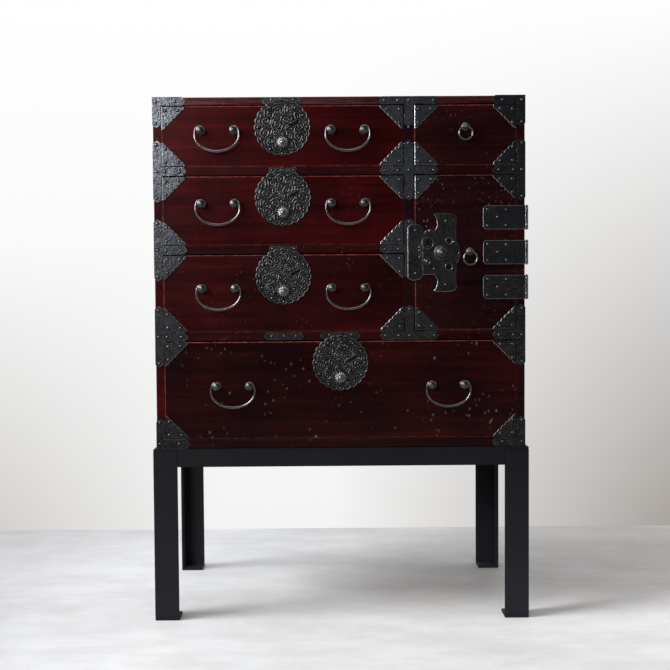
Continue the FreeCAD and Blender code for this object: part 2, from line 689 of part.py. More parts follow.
def make_side_irons(name, side, rails):
    """Corner irons and T-irons of one side: sheet on the front, wrapped on to side and top."""
    sheet = size["iron_thickness"]
    tip = size["arm_tip"]
    outer = size["chest_width"] / 2
    inner = outer - size["side_thickness"] + size["iron_margin"]
    arm = size["arm_reach"] - (outer - inner)
    top = place["chest_top_z"]
    front = place["front_y"]
    wrap = size["iron_wrap"]
    strap = size["strap_reach"]
    corner = size["corner_reach"]

    spans = []
    top_arm = place["top_board_z"] + size["iron_margin"]
    spans.append((top_arm, top, corner - (top - top_arm), 0))
    for rail, thickness in rails:
        low, high = rail_span(rail, thickness)
        spans.append((low, high, strap - (high - low) / 2, strap - (high - low) / 2))
    bottom_arm = place["drawer_4_z"] - size["iron_margin"]
    base = size["stand_height"]
    spans.append((base, bottom_arm, 0, corner - (bottom_arm - base)))

    body = keep(name, new_body(name))
    faces = new_sketch(body, "XZ_Plane", name + "_fronts", "-Places.front_y")
    edge = "Places.right_x" if side > 0 else "Places.left_x"
    wings = new_sketch(body, "YZ_Plane", name + "_wings", edge)
    for low, high, down, up in spans:
        outline = iron_outline(-outer - sheet, -inner, low, high, right=arm, down=down, up=up)
        draw(faces, moved(outline, 0, 0, -side, 1))
        wing_low = low - down + tip if down else low
        wing_high = high + up - tip if up else high
        draw(wings, [(front, wing_low, 0), (front + wrap - tip, wing_low, 0),
                     (front + wrap, wing_low + tip, 0), (front + wrap, wing_high - tip, 0),
                     (front + wrap - tip, wing_high, 0), (front, wing_high, 0)])
    pad(body, faces, name + "_front_sheet", "Sizes.iron_thickness")
    pad(body, wings, name + "_wing_sheet", "Sizes.iron_thickness", back=side < 0)
    cap = new_sketch(body, "XY_Plane", name + "_cap", "Places.chest_top_z")
    reach = size["arm_reach"] - tip
    corner_sheet = [(-outer - sheet, front - sheet, 0), (reach - outer, front - sheet, 0),
                    (reach - outer, front + wrap - tip, 0), (reach - tip - outer, front + wrap, 0),
                    (tip - outer, front + wrap, 0), (-outer - sheet, front + wrap - tip, 0)]
    draw(cap, moved(corner_sheet, 0, 0, -side, 1))
    pad(body, cap, name + "_cap_sheet", "Sizes.iron_thickness")


def make_divider_irons():
    """Flat irons where the upright meets the top board and the rails."""
    middle = place["divider_middle_x"]
    half = size["divider_thickness"] / 2 - size["iron_margin"]
    arm = size["divider_arm"] - half
    strap = size["divider_strap"]
    body = keep("divider_irons", new_body("divider_irons"))
    faces = new_sketch(body, "XZ_Plane", "divider_iron_fronts", "-Places.front_y")
    top = place["chest_top_z"]
    top_arm = place["top_board_z"] + size["iron_margin"]
    low_1, high_1 = rail_span("rail_1_z", "rail_thickness")
    low_2, high_2 = rail_span("rail_2_z", "rail_thickness")
    low_3, high_3 = rail_span("shelf_z", "shelf_thickness")
    reach = strap - (high_1 - low_1) / 2
    outlines = (
        iron_outline(middle - half, middle + half, top_arm, top, left=arm, right=arm,
                     down=size["corner_reach"] - (top - top_arm)),
        iron_outline(middle - half, middle + half, low_1, high_1, left=arm, right=arm,
                     down=reach, up=reach),
        iron_outline(middle - half, middle + half, low_2, high_2, left=arm, down=reach, up=reach),
        iron_outline(middle - half, middle + half, low_3, high_3, left=arm, right=arm, up=reach),
    )
    for outline in outlines:
        draw(faces, outline)
    pad(body, faces, "divider_iron_sheet", "Sizes.iron_thickness")


def make_strike_plates():
    """Plates on the board above each lock, and one more on the wide shelf."""
    body = keep("strike_plates", new_body("strike_plates"))
    faces = new_sketch(body, "XZ_Plane", "strike_plate_fronts", "-Places.front_y")
    column = place["left_column_x"]
    half_plain = size["strike_width"] / 2
    half_wide = size["wide_strike_width"] / 2
    plain = ((column, "rail_1_z", "rail_thickness"), (column, "rail_2_z", "rail_thickness"))
    shaped = ((column, "top_board_z", "top_thickness"), (0, "shelf_z", "shelf_thickness"),
              (column, "shelf_z", "shelf_thickness"))
    for x, rail, thickness in plain:
        middle = place[rail] + size[thickness] / 2
        low = middle - size["strike_height"] / 2
        draw(faces, rectangle(x - half_plain, low, x + half_plain, low + size["strike_height"]))
    for x, rail, thickness in shaped:
        middle = place[rail] + size[thickness] / 2
        low = middle - size["strike_height"] / 2
        core = half_plain / 2
        draw(faces, iron_outline(x - core, x + core, low, low + size["strike_height"],
                                 left=half_wide - core, right=half_wide - core))
    pad(body, faces, "strike_plate_sheet", "Sizes.iron_thickness")


# ---------------------------------------------------------------- door


def make_door():
    gap = "Sizes.door_gap"
    door_x = f"Places.right_opening_x + {gap}"
    door_z = f"Places.drawer_3_z + {gap}"
    width = f"Sizes.right_opening_width - 2 * {gap}"
    height = f"Places.door_height - 2 * {gap}"
    keep("door_panel", board("door_panel", door_x, "Places.face_y", door_z, width,
                             "Sizes.door_thickness", height))
    corner_plates("door_corner_plates", door_x, door_z, width, height)
    add_ring("door", "Places.door_ring_x", "Places.door_middle_z + Sizes.door_ring_rise")
    make_door_lock()
    make_hinges()


def make_door_lock():
    """Narrow plate that laps the upright, and the axe-shaped plate with its boss beside it."""
    catch = new_body("catch_plate")
    outline = new_sketch(catch, "XZ_Plane", "catch_plate_outline", "-Places.face_y")
    x0 = place["catch_x"]
    x1 = x0 + size["catch_width"]
    z = place["door_middle_z"]
    half = size["catch_height"] / 2
    tip = size["arm_tip"]
    draw(outline, [(x0 + tip, z - half, 0), (x1 - tip, z - half, 0), (x1, z - half + tip, 0),
                   (x1, z + half - tip, 0), (x1 - tip, z + half, 0), (x0 + tip, z + half, 0),
                   (x0, z + half - tip, 0), (x0, z - half + tip, 0)])
    pad(catch, outline, "catch_plate_sheet", "Sizes.plate_thickness")
    keep("door_catch_plate", catch)

    x = place["door_lock_x"]
    left = x1 + size["hinge_gap"] - x
    right = size["axe_right"]
    horn = size["axe_horn"]
    high = size["axe_half_height"]
    neck = size["axe_neck"]
    belly = 0.3 * high
    axe = [(right, -high, 0), (right, -belly, 0.36), (right, belly, 0), (right, high, 0.2),
           (-horn, high, -0.62), (-horn, neck, 0.3), (left, 0.8 * neck, 0),
           (left, -neck, 0), (-horn, -neck, -0.62), (-horn, -high, 0.2)]
    plate = new_body("axe_plate")
    sketch = new_sketch(plate, "XZ_Plane", "axe_plate_outline", "-Places.face_y")
    draw(sketch, moved(axe, x, z))
    pad(plate, sketch, "axe_plate_sheet", "Sizes.plate_thickness")

    dome = make_boss("door_boss", size["door_boss_radius"], "Sizes.door_boss_height")
    put(dome, "Places.door_lock_x", "Places.face_y - Sizes.plate_thickness",
        "Places.door_middle_z")
    keep("door_lock", group("door_lock", [plate, dome]))


def hinge_level(i):
    """Formula for the middle height of hinge i, counted from the top."""
    return f"Places.door_middle_z + {1 - i} * Sizes.hinge_pitch"


def add_knuckles(body, name, rises):
    """A barrel piece that far from each hinge's middle for each rise, bored for the pin."""
    for i in range(HINGES):
        for part, rise in enumerate(rises):
            end = f"{name}_knuckle_{i}_{part}"
            outline = new_sketch(body, "XY_Plane", end + "_end", f"{hinge_level(i)} + {rise}")
            draw(outline, moved(rosette(round(size["barrel_flats"]), size["hinge_barrel"]),
                                place["hinge_x"], place["hinge_y"]))
            pad(body, outline, end, "Places.knuckle")
    hole = new_sketch(body, "XY_Plane", name + "_bore_end")
    draw_circle(hole, place["hinge_x"], place["hinge_y"],
                size["hinge_pin"] + size["pivot_clearance"])
    bore = body.newObject("PartDesign::Pocket", name + "_bore")
    bore.Profile = hole
    bore.Type = "ThroughAll"
    bore.Reversed = True


def make_hinges():
    half = size["hinge_height"] / 2
    knuckle = place["knuckle"]
    corner = size["hinge_corner"]
    right = place["right_x"]
    middles = [place["door_middle_z"] + (1 - i) * size["hinge_pitch"] for i in range(HINGES)]

    door_leaves = keep("hinge_door_leaves", new_body("hinge_door_leaves"))
    fronts = new_sketch(door_leaves, "XZ_Plane", "door_leaf_fronts", "-Places.face_y")
    left = place["hinge_leaf_x"]
    for z in middles:
        draw(fronts, [(left + corner, z - half, 0), (right, z - half, 0),
                      (right, z - knuckle / 2, 0), (place["hinge_x"], z - knuckle / 2, 0),
                      (place["hinge_x"], z + knuckle / 2, 0), (right, z + knuckle / 2, 0),
                      (right, z + half, 0), (left + corner, z + half, 0),
                      (left, z + half - corner, 0), (left, z - half + corner, 0)])
    pad(door_leaves, fronts, "door_leaf_sheet", "Sizes.plate_thickness")
    add_knuckles(door_leaves, "door_leaf", ["-Places.knuckle / 2"])

    side_leaves = keep("hinge_side_leaves", new_body("hinge_side_leaves"))
    sides = new_sketch(side_leaves, "YZ_Plane", "side_leaf_outlines", "Places.right_x")
    axis_y = place["hinge_y"]
    near = axis_y + size["hinge_barrel"] + size["hinge_gap"]
    far = place["front_y"] + size["hinge_side_reach"]
    for z in middles:
        draw(sides, [(axis_y, z - half, 0), (far - corner, z - half, 0),
                     (far, z - half + corner, 0), (far, z + half - corner, 0),
                     (far - corner, z + half, 0), (axis_y, z + half, 0),
                     (axis_y, z + half - knuckle, 0), (near, z + half - knuckle, 0),
                     (near, z - half + knuckle, 0), (axis_y, z - half + knuckle, 0)])
    pad(side_leaves, sides, "side_leaf_sheet", "Sizes.plate_thickness")
    add_knuckles(side_leaves, "side_leaf",
                 ["-Sizes.hinge_height / 2", "Sizes.hinge_height / 2 - Places.knuckle"])

    pins = []
    for i in range(HINGES):
        pin = doc.addObject("Part::Cylinder", f"hinge_pin_{i}")
        pin.setExpression("Radius", "Sizes.hinge_pin")
        pin.setExpression("Height", "Sizes.hinge_height + 2 * Sizes.pin_end")
        put(pin, "Places.hinge_x", "Places.hinge_y",
            f"{hinge_level(i)} - Sizes.hinge_height / 2 - Sizes.pin_end")
        pins.append(pin)
    keep("hinge_pins", group("hinge_pins", pins))


# ---------------------------------------------------------------- the whole chest

make_stand()
make_carcass()
make_drawers()
LEFT_RAILS = (("rail_1_z", "rail_thickness"), ("rail_2_z", "rail_thickness"),
              ("shelf_z", "shelf_thickness"))
RIGHT_RAILS = (("rail_1_z", "rail_thickness"), ("shelf_z", "shelf_thickness"))
make_side_irons("irons_left", -1, LEFT_RAILS)
make_side_irons("irons_right", 1, RIGHT_RAILS)
make_divider_irons()
make_strike_plates()
make_door()
doc.recompute()

for item in doc.Objects:
    if "Invalid" in item.State or "Error" in item.State:
        raise RuntimeError(f"{item.Label} failed: {item.State}")
for name, item in nodes.items():
    if item.Shape.isNull() or not item.Shape.isValid():
        raise RuntimeError(f"{name} has no valid shape")

os.makedirs("parts", exist_ok=True)
for name, item in nodes.items():
    item.Shape.exportStep(f"parts/{name}.step")
print(f"{len(nodes)} nodes, {sum(len(item.Shape.Solids) for item in nodes.values())} solids")
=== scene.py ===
"""Looks of the small tansu chest on its steel stand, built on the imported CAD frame, in metres.

Lengths below are millimetres times MM. Each fitting is placed from its CAD node's box or its joint.
"""

import json
import math

import bmesh
import bpy
import numpy as np
from mathutils import Matrix, Vector


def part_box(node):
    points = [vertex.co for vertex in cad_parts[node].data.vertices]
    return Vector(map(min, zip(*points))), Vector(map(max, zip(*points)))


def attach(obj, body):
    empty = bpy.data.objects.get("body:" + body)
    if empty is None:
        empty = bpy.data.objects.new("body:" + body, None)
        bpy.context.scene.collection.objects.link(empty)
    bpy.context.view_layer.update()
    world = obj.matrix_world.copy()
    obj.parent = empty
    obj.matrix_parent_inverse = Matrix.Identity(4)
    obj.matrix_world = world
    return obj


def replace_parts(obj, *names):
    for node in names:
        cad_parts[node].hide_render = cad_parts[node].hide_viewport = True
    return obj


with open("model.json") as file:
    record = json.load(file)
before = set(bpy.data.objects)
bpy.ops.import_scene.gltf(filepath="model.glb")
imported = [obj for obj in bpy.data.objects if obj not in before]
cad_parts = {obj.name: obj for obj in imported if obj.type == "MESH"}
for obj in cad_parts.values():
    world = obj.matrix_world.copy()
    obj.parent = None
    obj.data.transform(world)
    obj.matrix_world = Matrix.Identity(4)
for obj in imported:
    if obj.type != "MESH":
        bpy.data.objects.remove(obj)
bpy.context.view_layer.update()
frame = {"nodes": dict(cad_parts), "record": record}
nodes = frame["nodes"]
joints = {joint["name"]: joint for joint in frame["record"]["behaviour"]["joints"]}
MM = 0.001

LOCKED_DRAWERS = ("drawer_1", "drawer_2", "drawer_3", "drawer_4")
# the body that carries each CAD node
carrier = {node: body for body, group in frame["record"]["behaviour"]["bodies"].items()
           for node in group}

# Y of the stand's front, the drawer fronts, the carcass irons and the corner plates
stand_front_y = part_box("stand_legs")[0][1]
face_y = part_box("drawer_1_front")[0][1]
sheet_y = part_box("divider_irons")[0][1]
plate_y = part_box("drawer_1_corner_plates")[0][1]


# ---- mesh helpers


def put(name, mesh, material):
    """A new object of that mesh and material in the scene."""
    mesh.materials.append(material)
    thing = bpy.data.objects.new(name, mesh)
    bpy.context.collection.objects.link(thing)
    return thing


def from_bmesh(name, bm, material, body):
    """A piece of that bmesh, riding on a body."""
    bmesh.ops.recalc_face_normals(bm, faces=bm.faces)
    mesh = bpy.data.meshes.new(name)
    bm.to_mesh(mesh)
    bm.free()
    piece = put(name, mesh, material)
    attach(piece, body)
    return piece


def forged(name, bm, material, body):
    """A smooth piece of iron of that bmesh, riding on a body."""
    piece = from_bmesh(name, bm, material, body)
    piece.data.shade_smooth()
    return piece


def centre(node):
    """Middle of a CAD node's box."""
    low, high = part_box(node)
    return (Vector(low) + Vector(high)) / 2


def bridge(bm, rings, capped=True):
    """Quads between neighbouring rings of vertices, and a face over the first and the last."""
    for near, far in zip(rings, rings[1:]):
        for i in range(len(near)):
            k = (i + 1) % len(near)
            bm.faces.new((near[i], near[k], far[k], far[i]))
    if capped:
        bm.faces.new(rings[0])
        bm.faces.new(rings[-1])


def around(x, z, points):
    """Points in millimetres from x, z, as places in metres."""
    return [(x + u * MM, z + v * MM) for u, v in points]


def revolve(bm, profile, place, turns, lobes=0, lobe_depth=0.0):
    """Turn (radius, height) points about the -Y direction; lobes flute the wider rings."""
    rings = []
    widest = max(radius for radius, _ in profile)
    for radius, height in profile:
        ring = []
        for i in range(turns):
            angle = 2 * math.pi * i / turns
            flute = 1 - lobe_depth * (radius / widest) * (0.5 + 0.5 * math.cos(lobes * angle))
            reach = radius * (flute if lobes else 1)
            ring.append(bm.verts.new((place[0] + reach * math.cos(angle), place[1] - height,
                                      place[2] + reach * math.sin(angle))))
        rings.append(ring)
    bridge(bm, rings)


def make_nails(name, places, body, radius=2.3 * MM, height=1.25 * MM):
    """Nail heads at (x, y, z) places, y being the sheet's surface, each in a near-black ring of
    painted shade.
    """
    bm = bmesh.new()
    dome = [(radius * math.cos(i * math.pi / 7), height * math.sin(i * math.pi / 7))
            for i in range(4)]
    for place in places:
        revolve(bm, dome, place, turns=10)
    # Near-black rings round the nails' feet: painted shade.
    painted_shade_start = len(bm.faces)
    for place in places:
        revolve(bm, [(1.3 * radius, 0.04 * MM), (0.95 * radius, 0.06 * MM)], place, turns=10)
    bm.faces.ensure_lookup_table()
    for face in bm.faces[painted_shade_start:]:
        face.material_index = 1
    forged(name, bm, nail_iron, body).data.materials.append(void)


def make_plate(name, outline, thickness, material, body):
    """A flat plate of that outline in X and Z on the fronts' face, with softened bright edges."""
    bm = bmesh.new()
    back = bm.faces.new([bm.verts.new((x, face_y, z)) for x, z in outline])
    moved = bmesh.ops.extrude_face_region(bm, geom=[back])["geom"]
    front = [item for item in moved if isinstance(item, bmesh.types.BMVert)]
    bmesh.ops.translate(bm, vec=(0, -thickness, 0), verts=front)
    bmesh.ops.recalc_face_normals(bm, faces=bm.faces)
    rim = [edge for edge in bm.edges if all(vert in front for vert in edge.verts)]
    bmesh.ops.bevel(bm, geom=rim, offset=1 * MM, segments=2, affect="EDGES", profile=0.6,
                    material=1)
    piece = from_bmesh(name, bm, material, body)
    piece.data.materials.append(rim_iron)
    return piece


def tube(bm, points, radii, sides, flatten=1.0, normal=(0, 1, 0)):
    """Sweep a round section of changing radius along points in the plane of that normal, along
    which the section is flattened or stretched; closed at its ends."""
    normal = Vector(normal)
    rings = []
    for i, point in enumerate(points):
        before = points[max(i - 1, 0)]
        after = points[min(i + 1, len(points) - 1)]
        along = (after - before).normalized()
        across = normal.cross(along).normalized()
        ring = []
        for j in range(sides):
            angle = 2 * math.pi * j / sides
            offset = across * math.cos(angle) + flatten * normal * math.sin(angle)
            ring.append(bm.verts.new(point + radii[i] * offset))
        rings.append(ring)
    bridge(bm, rings)


# ---- shader helpers


class Nodes:
    """A node tree with short calls for the nodes that the materials and the world share."""

    def __init__(self, tree, place):
        self.tree = tree
        self.place = tree.nodes.new("ShaderNodeTexCoord").outputs[place]

    def feed(self, node, socket, value):
        if isinstance(value, (int, float, tuple)):
            node.inputs[socket].default_value = value
        else:
            self.tree.links.new(value, node.inputs[socket])

    def new(self, kind, **inputs):
        """A node of that kind, each input given as a value or as another node's output."""
        node = self.tree.nodes.new("ShaderNode" + kind)
        for socket, value in inputs.items():
            self.feed(node, socket, value)
        return node

    def scaled(self, x, y, z):
        return self.new("Mapping", Vector=self.place, Scale=(x, y, z)).outputs["Vector"]

    def noise(self, scale, detail=4.0, rough=0.55, vector=None, warp=0.0):
        vector = self.place if vector is None else vector
        return self.new("TexNoise", Vector=vector, Scale=scale, Detail=detail, Roughness=rough,
                        Distortion=warp).outputs["Fac"]

    def cells(self, scale, vector=None, feature="F1"):
        node = self.new("TexVoronoi", Vector=self.place if vector is None else vector, Scale=scale)
        node.feature = feature
        return node.outputs["Distance"]

    def ramp(self, value, *stops):
        """Map a value through (position, colour or grey) stops."""
        node = self.new("ValToRGB", Fac=value)
        points = node.color_ramp.elements
        while len(points) < len(stops):
            points.new(0.5)
        for point, (position, colour) in zip(points, stops):
            point.position = position
            grey = isinstance(colour, (int, float))
            point.color = (colour, colour, colour, 1) if grey else (*colour, 1)
        return node.outputs["Color"]

    def maths(self, operation, first, second=0.0, clamp=False):
        node = self.new("Math")
        node.operation = operation
        node.use_clamp = clamp
        self.feed(node, 0, first)
        self.feed(node, 1, second)
        return node.outputs[0]

    def mix(self, share, first, second, blend="MIX"):
        node = self.new("Mix")
        node.data_type = "RGBA"
        node.blend_type = blend
        self.feed(node, 0, share)
        for socket, colour in ((6, first), (7, second)):
            self.feed(node, socket, (*colour, 1) if isinstance(colour, tuple) else colour)
        return node.outputs[2]

    def times(self, first, second, share=1.0):
        """The first colour times the second where share is 1, the first alone where it is 0."""
        return self.mix(share, first, second, "MULTIPLY")

    def slope(self, axis, start, rate):
        """(coordinate - start) * rate, kept within 0 and 1."""
        beyond = self.maths("SUBTRACT", self.axis(axis), start)
        return self.maths("MULTIPLY", beyond, rate, clamp=True)

    def axis(self, name):
        return self.new("SeparateXYZ", Vector=self.place).outputs[name]


class Shader(Nodes):
    """A new material of that name, with short calls for its surface."""

    def __init__(self, name):
        self.material = bpy.data.materials.new(name)
        self.material.use_nodes = True
        super().__init__(self.material.node_tree, "Object")
        self.surface = self.tree.nodes["Principled BSDF"]

    def set(self, **values):
        for socket, value in values.items():
            self.surface.inputs[socket.replace("_", " ")].default_value = value

    def link(self, output, socket):
        self.tree.links.new(output, self.surface.inputs[socket])

    def bump(self, height, strength, distance):
        node = self.new("Bump", Strength=strength, Distance=distance, Height=height)
        self.link(node.outputs["Normal"], "Normal")


# ---- materials


def edge_closeness(s, low, high, reach, weights):
    """Near 1 on the left, right, bottom and top arris, each times its weight, 0 beyond reach."""
    nearest = None
    sides = (("X", low[0], 1), ("X", high[0], -1), ("Z", low[2], 1), ("Z", high[2], -1))
    for (axis, bound, way), weight in zip(sides, weights):
        near = s.maths("MULTIPLY", s.slope(axis, bound + way * reach, -way / reach), weight)
        nearest = near if nearest is None else s.maths("MAXIMUM", nearest, near)
    return nearest


def lacquer_body(s, low, high, tone, ends, dust):
    """Mottled and brushed red-brown, its tone partly its own colour and partly painted shade. The
    ends paint light and shade on its left and right, dust greys its front.
    """
    cloud = s.noise(7, 5, 0.6)
    streak = s.noise(14, 6, 0.65, s.scaled(0.3, 1, 5))
    dull = Vector((0.0, 0.011, 0.0125)) * (1.05 - min(tone, 1))
    dark, middle, light = (Vector(c) * tone + dull
                           for c in ((0.046, 0.0028, 0.0040), (0.102, 0.0050, 0.0074),
                                     (0.170, 0.0085, 0.0105)))
    body = s.ramp(cloud, (0.3, tuple(dark)), (0.52, tuple(middle)), (0.75, tuple(light)))
    body = s.times(body, s.ramp(streak, (0.35, 0.55), (0.65, 1.15)), 0.75)
    brushed = s.ramp(s.noise(42, 5, 0.72, s.scaled(0.09, 1, 2.4)), (0.40, 0.70), (0.64, 1.45))
    body = s.times(body, brushed, 0.7)
    if dust:
        veil = s.ramp(s.noise(36, 6, 0.75, s.scaled(0.22, 1, 4)), (0.42, 0.1), (0.60, 1.0))
        front = s.maths("MULTIPLY", s.slope("Y", low[1] + 8 * MM, -1 / (8 * MM)), dust)
        body = s.mix(s.maths("MULTIPLY", veil, front), body, (0.36, 0.15, 0.16))
    across = s.slope("X", low[0], 1 / (high[0] - low[0]))
    # Painted light and shade across the board, times ends[0] at its left and ends[1] at its right.
    return s.times(body, s.mix(across, (ends[0],) * 3, (ends[1],) * 3))


def lacquer_specks(s, low, high, specks, grit, raised):
    """Clouds of chips, 1 in a chip. More specks make more, more grit makes them finer, and raised
    keeps them to the upper half."""
    jagged = s.maths("MULTIPLY", s.noise(520, 3, 0.7), 0.30)
    chips = s.maths("ADD", s.cells(grit, s.scaled(0.8, 1, 0.6)), jagged)
    sparse = s.ramp(s.noise(20, 3, 0.6), (0.56 - 0.1 * specks, 0.0), (0.70, 1.0))
    speck = s.maths("MULTIPLY", s.ramp(chips, (0.28, 1.0), (0.38, 0.0)), sparse)
    speck = s.maths("MULTIPLY", speck, min(1.0, 1.3 * specks))
    if raised:
        rise = s.slope("Z", low[2], 1 / (high[2] - low[2]))
        speck = s.maths("MULTIPLY", speck, s.ramp(rise, (0.45, 1 - raised), (0.75, 1.0)))
    return speck


def make_lacquer(name, low, high, tone, weights, specks, ends, dust=0.0, grit=190, raised=0.0,
                 painted_gap_shade=0.0):
    """Lacquer on one board: mottled body, bright arrises, specks and scratches. The weights say how
    bright its left, right, bottom and top arris are, partly rubbed through and partly a painted
    highlight; the last argument darkens its lower arris with painted shade of the gap below it."""
    s = Shader(name)
    body = lacquer_body(s, low, high, tone, ends, dust)
    if painted_gap_shade:
        # Painted shade of the gap below the board, over its lower 2 mm.
        rise = s.slope("Z", low[2], 1 / (2 * MM))
        body = s.times(body, s.ramp(rise, (0.3, 0.0), (1.0, 1.0)), painted_gap_shade)
    # Bright arrises: partly rubbed-through lacquer and partly a painted highlight, weighted per
    # arris.
    edge = edge_closeness(s, low, high, 1.8 * MM, weights)
    ragged = s.noise(150, 5, 0.75, s.scaled(0.6, 1, 1))
    rubbed_and_lit = s.maths("MULTIPLY", edge, s.ramp(ragged, (0.38, 0.15), (0.60, 1.0)))
    body = s.mix(rubbed_and_lit, body, (0.95, 0.22, 0.18))
    speck = lacquer_specks(s, low, high, specks, grit, raised)
    body = s.mix(speck, body, (0.42, 0.33, 0.32))
    scratch = s.noise(60, 4, 0.7, s.scaled(0.5, 1, 3.2), 1.2)
    mark = s.maths("MULTIPLY", s.ramp(scratch, (0.68, 0.0), (0.74, 1.0)), 0.4)
    s.link(s.mix(mark, body, (0.16, 0.03, 0.02)), "Base Color")

    rough = s.ramp(s.noise(30, 5, 0.7), (0.3, 0.24), (0.7, 0.36))
    s.link(s.mix(rubbed_and_lit, rough, (0.55, 0.55, 0.55)), "Roughness")
    s.set(Coat_Weight=0.10, Coat_Roughness=0.12, Specular_IOR_Level=0.14)
    waves = s.noise(45, 3, 0.5, s.scaled(0.3, 0.35, 1.5))
    dents = s.ramp(s.cells(55), (0.0, 0.0), (0.16, 1.0))
    height = s.maths("ADD", waves, s.maths("MULTIPLY", dents, 0.35))
    height = s.maths("SUBTRACT", height, s.maths("MULTIPLY", speck, 1.5))
    s.bump(height, 0.22, 0.6 * MM)
    return s.material


def make_iron(name, dark, light, rough_low, rough_high, bump=0.8, contrast=0.85):
    """Blackened wrought iron: hammer marks, pitting and a rubbed sheen. The carcass sheets are
    darker near the stand and lighter in the middle column, as the room lights them in the photo.
    Chased iron is bright and polished where its relief stands up."""
    s = Shader(name)
    patches = s.noise(70, 6, 0.7)
    pits = s.noise(330, 5, 0.7)
    colour = s.ramp(patches, (0.3, dark), (0.72, light))
    speckle = s.ramp(pits, (0.36, 0.35), (0.52, 0.9), (0.68, 1.9))
    colour = s.times(colour, speckle, contrast)
    rust = s.ramp(s.noise(38, 6, 0.75), (0.60, 0.0), (0.74, 0.35))
    colour = s.mix(rust, colour, (0.10, 0.065, 0.05))
    if name == "iron_sheet":
        rise = s.slope("Z", 0.30, 2.5)
        colour = s.times(colour, s.ramp(rise, (0.0, 0.42), (0.35, 0.9), (0.75, 1.15)))
        across = s.slope("X", -0.3, 1.667)
        middle = s.ramp(across, (0.45, 0.0), (0.60, 1.0), (0.72, 1.0), (0.88, 0.12))
        lift = s.maths("MULTIPLY", middle, s.slope("Z", 0.45, 5))
        colour = s.times(colour, (2.0, 2.0, 2.05), lift)
    rough = s.ramp(pits, (0.3, rough_high), (0.7, rough_low))
    if name == "iron_chased":
        relief = s.new("Attribute")
        relief.attribute_name = "relief"
        ridge = s.ramp(relief.outputs["Fac"], (0.25, 0.0), (0.95, 1.0))
        colour = s.mix(ridge, colour, (0.45, 0.42, 0.43))
        rough = s.mix(ridge, rough, (0.26, 0.26, 0.26))
    s.link(colour, "Base Color")
    s.link(rough, "Roughness")
    s.set(Metallic=1.0)
    hammer = s.cells(190, feature="SMOOTH_F1")
    height = s.maths("ADD", s.maths("MULTIPLY", hammer, 0.8), pits)
    s.bump(height, bump, 0.4 * MM)
    return s.material


def make_powder_coat():
    """Matte black paint of the stand, lighter to the right and near the floor, as the room lights
    it in the photo."""
    s = Shader("stand_paint")
    coat = s.ramp(s.noise(8, 4), (0.3, (0.0135, 0.0135, 0.0162)), (0.7, (0.018, 0.018, 0.0215)))
    coat = s.times(coat, (1.35, 1.35, 1.35), s.slope("X", -0.3125, 1.6))
    coat = s.times(coat, (3.5, 3.5, 3.8), s.slope("Z", 0.32, -1 / 0.32))
    s.link(coat, "Base Color")
    s.link(s.ramp(s.noise(160, 5, 0.7), (0.3, 0.52), (0.7, 0.64)), "Roughness")
    s.set(Specular_IOR_Level=0.4)
    s.bump(s.noise(900, 3, 0.6), 0.25, 0.15 * MM)
    return s.material


def make_bare_wood():
    """Aged softwood of the drawer boxes and the back, its grain along X and Y."""
    s = Shader("aged_softwood")
    rings = s.noise(34, 5, 0.6, s.scaled(0.12, 0.2, 3.0), 0.6)
    tone = s.noise(5, 4, 0.6)
    colour = s.ramp(rings, (0.3, (0.20, 0.105, 0.048)), (0.5, (0.33, 0.195, 0.10)),
                    (0.7, (0.25, 0.14, 0.068)))
    colour = s.times(colour, s.ramp(tone, (0.3, 0.7), (0.7, 1.15)), 0.6)
    s.link(colour, "Base Color")
    s.link(s.ramp(rings, (0.3, 0.72), (0.7, 0.58)), "Roughness")
    s.bump(rings, 0.2, 0.3 * MM)
    return s.material


def make_void():
    """Near-black unlit depth of a keyhole or a drilled hole, and painted shade round the nails."""
    s = Shader("keyhole_dark")
    s.link(s.ramp(s.noise(200), (0.3, 0.002), (0.7, 0.004)), "Base Color")
    s.set(Roughness=0.9)
    return s.material


sheet_iron = make_iron("iron_sheet", (0.17, 0.174, 0.188), (0.33, 0.34, 0.368), 0.18, 0.29, 0.45,
                       0.75)
plate_iron = make_iron("iron_plate", (0.085, 0.082, 0.085), (0.24, 0.23, 0.238), 0.26, 0.42)
# Bright edge metal for bevels and arris strips: partly rubbed iron and partly a painted highlight.
rim_iron = make_iron("iron_rim", (0.55, 0.55, 0.57), (0.95, 0.95, 0.97), 0.24, 0.4, 0.3)
boss_iron = make_iron("iron_boss", (0.42, 0.39, 0.40), (0.80, 0.76, 0.78), 0.20, 0.32, 0.1, 0.4)
bail_iron = make_iron("iron_forged", (0.36, 0.36, 0.37), (0.66, 0.66, 0.68), 0.15, 0.25, 0.10, 0.35)
knob_iron = make_iron("iron_knob", (0.17, 0.165, 0.172), (0.42, 0.41, 0.425), 0.22, 0.36, 0.4, 0.7)
dome_iron = make_iron("iron_dome", (0.15, 0.138, 0.143), (0.34, 0.315, 0.328), 0.30, 0.42, 0.2, 0.6)
nail_iron = make_iron("iron_nail", (0.22, 0.22, 0.24), (0.46, 0.46, 0.48), 0.18, 0.28, 0.1, 0.4)
chased_iron = make_iron("iron_chased", (0.035, 0.033, 0.035), (0.10, 0.095, 0.098), 0.32, 0.55)
stand_paint = make_powder_coat()
softwood = make_bare_wood()
void = make_void()


def dress(node, material):
    """Give a CAD node one material all over."""
    slots = nodes[node].data.materials
    slots.clear()
    slots.append(material)


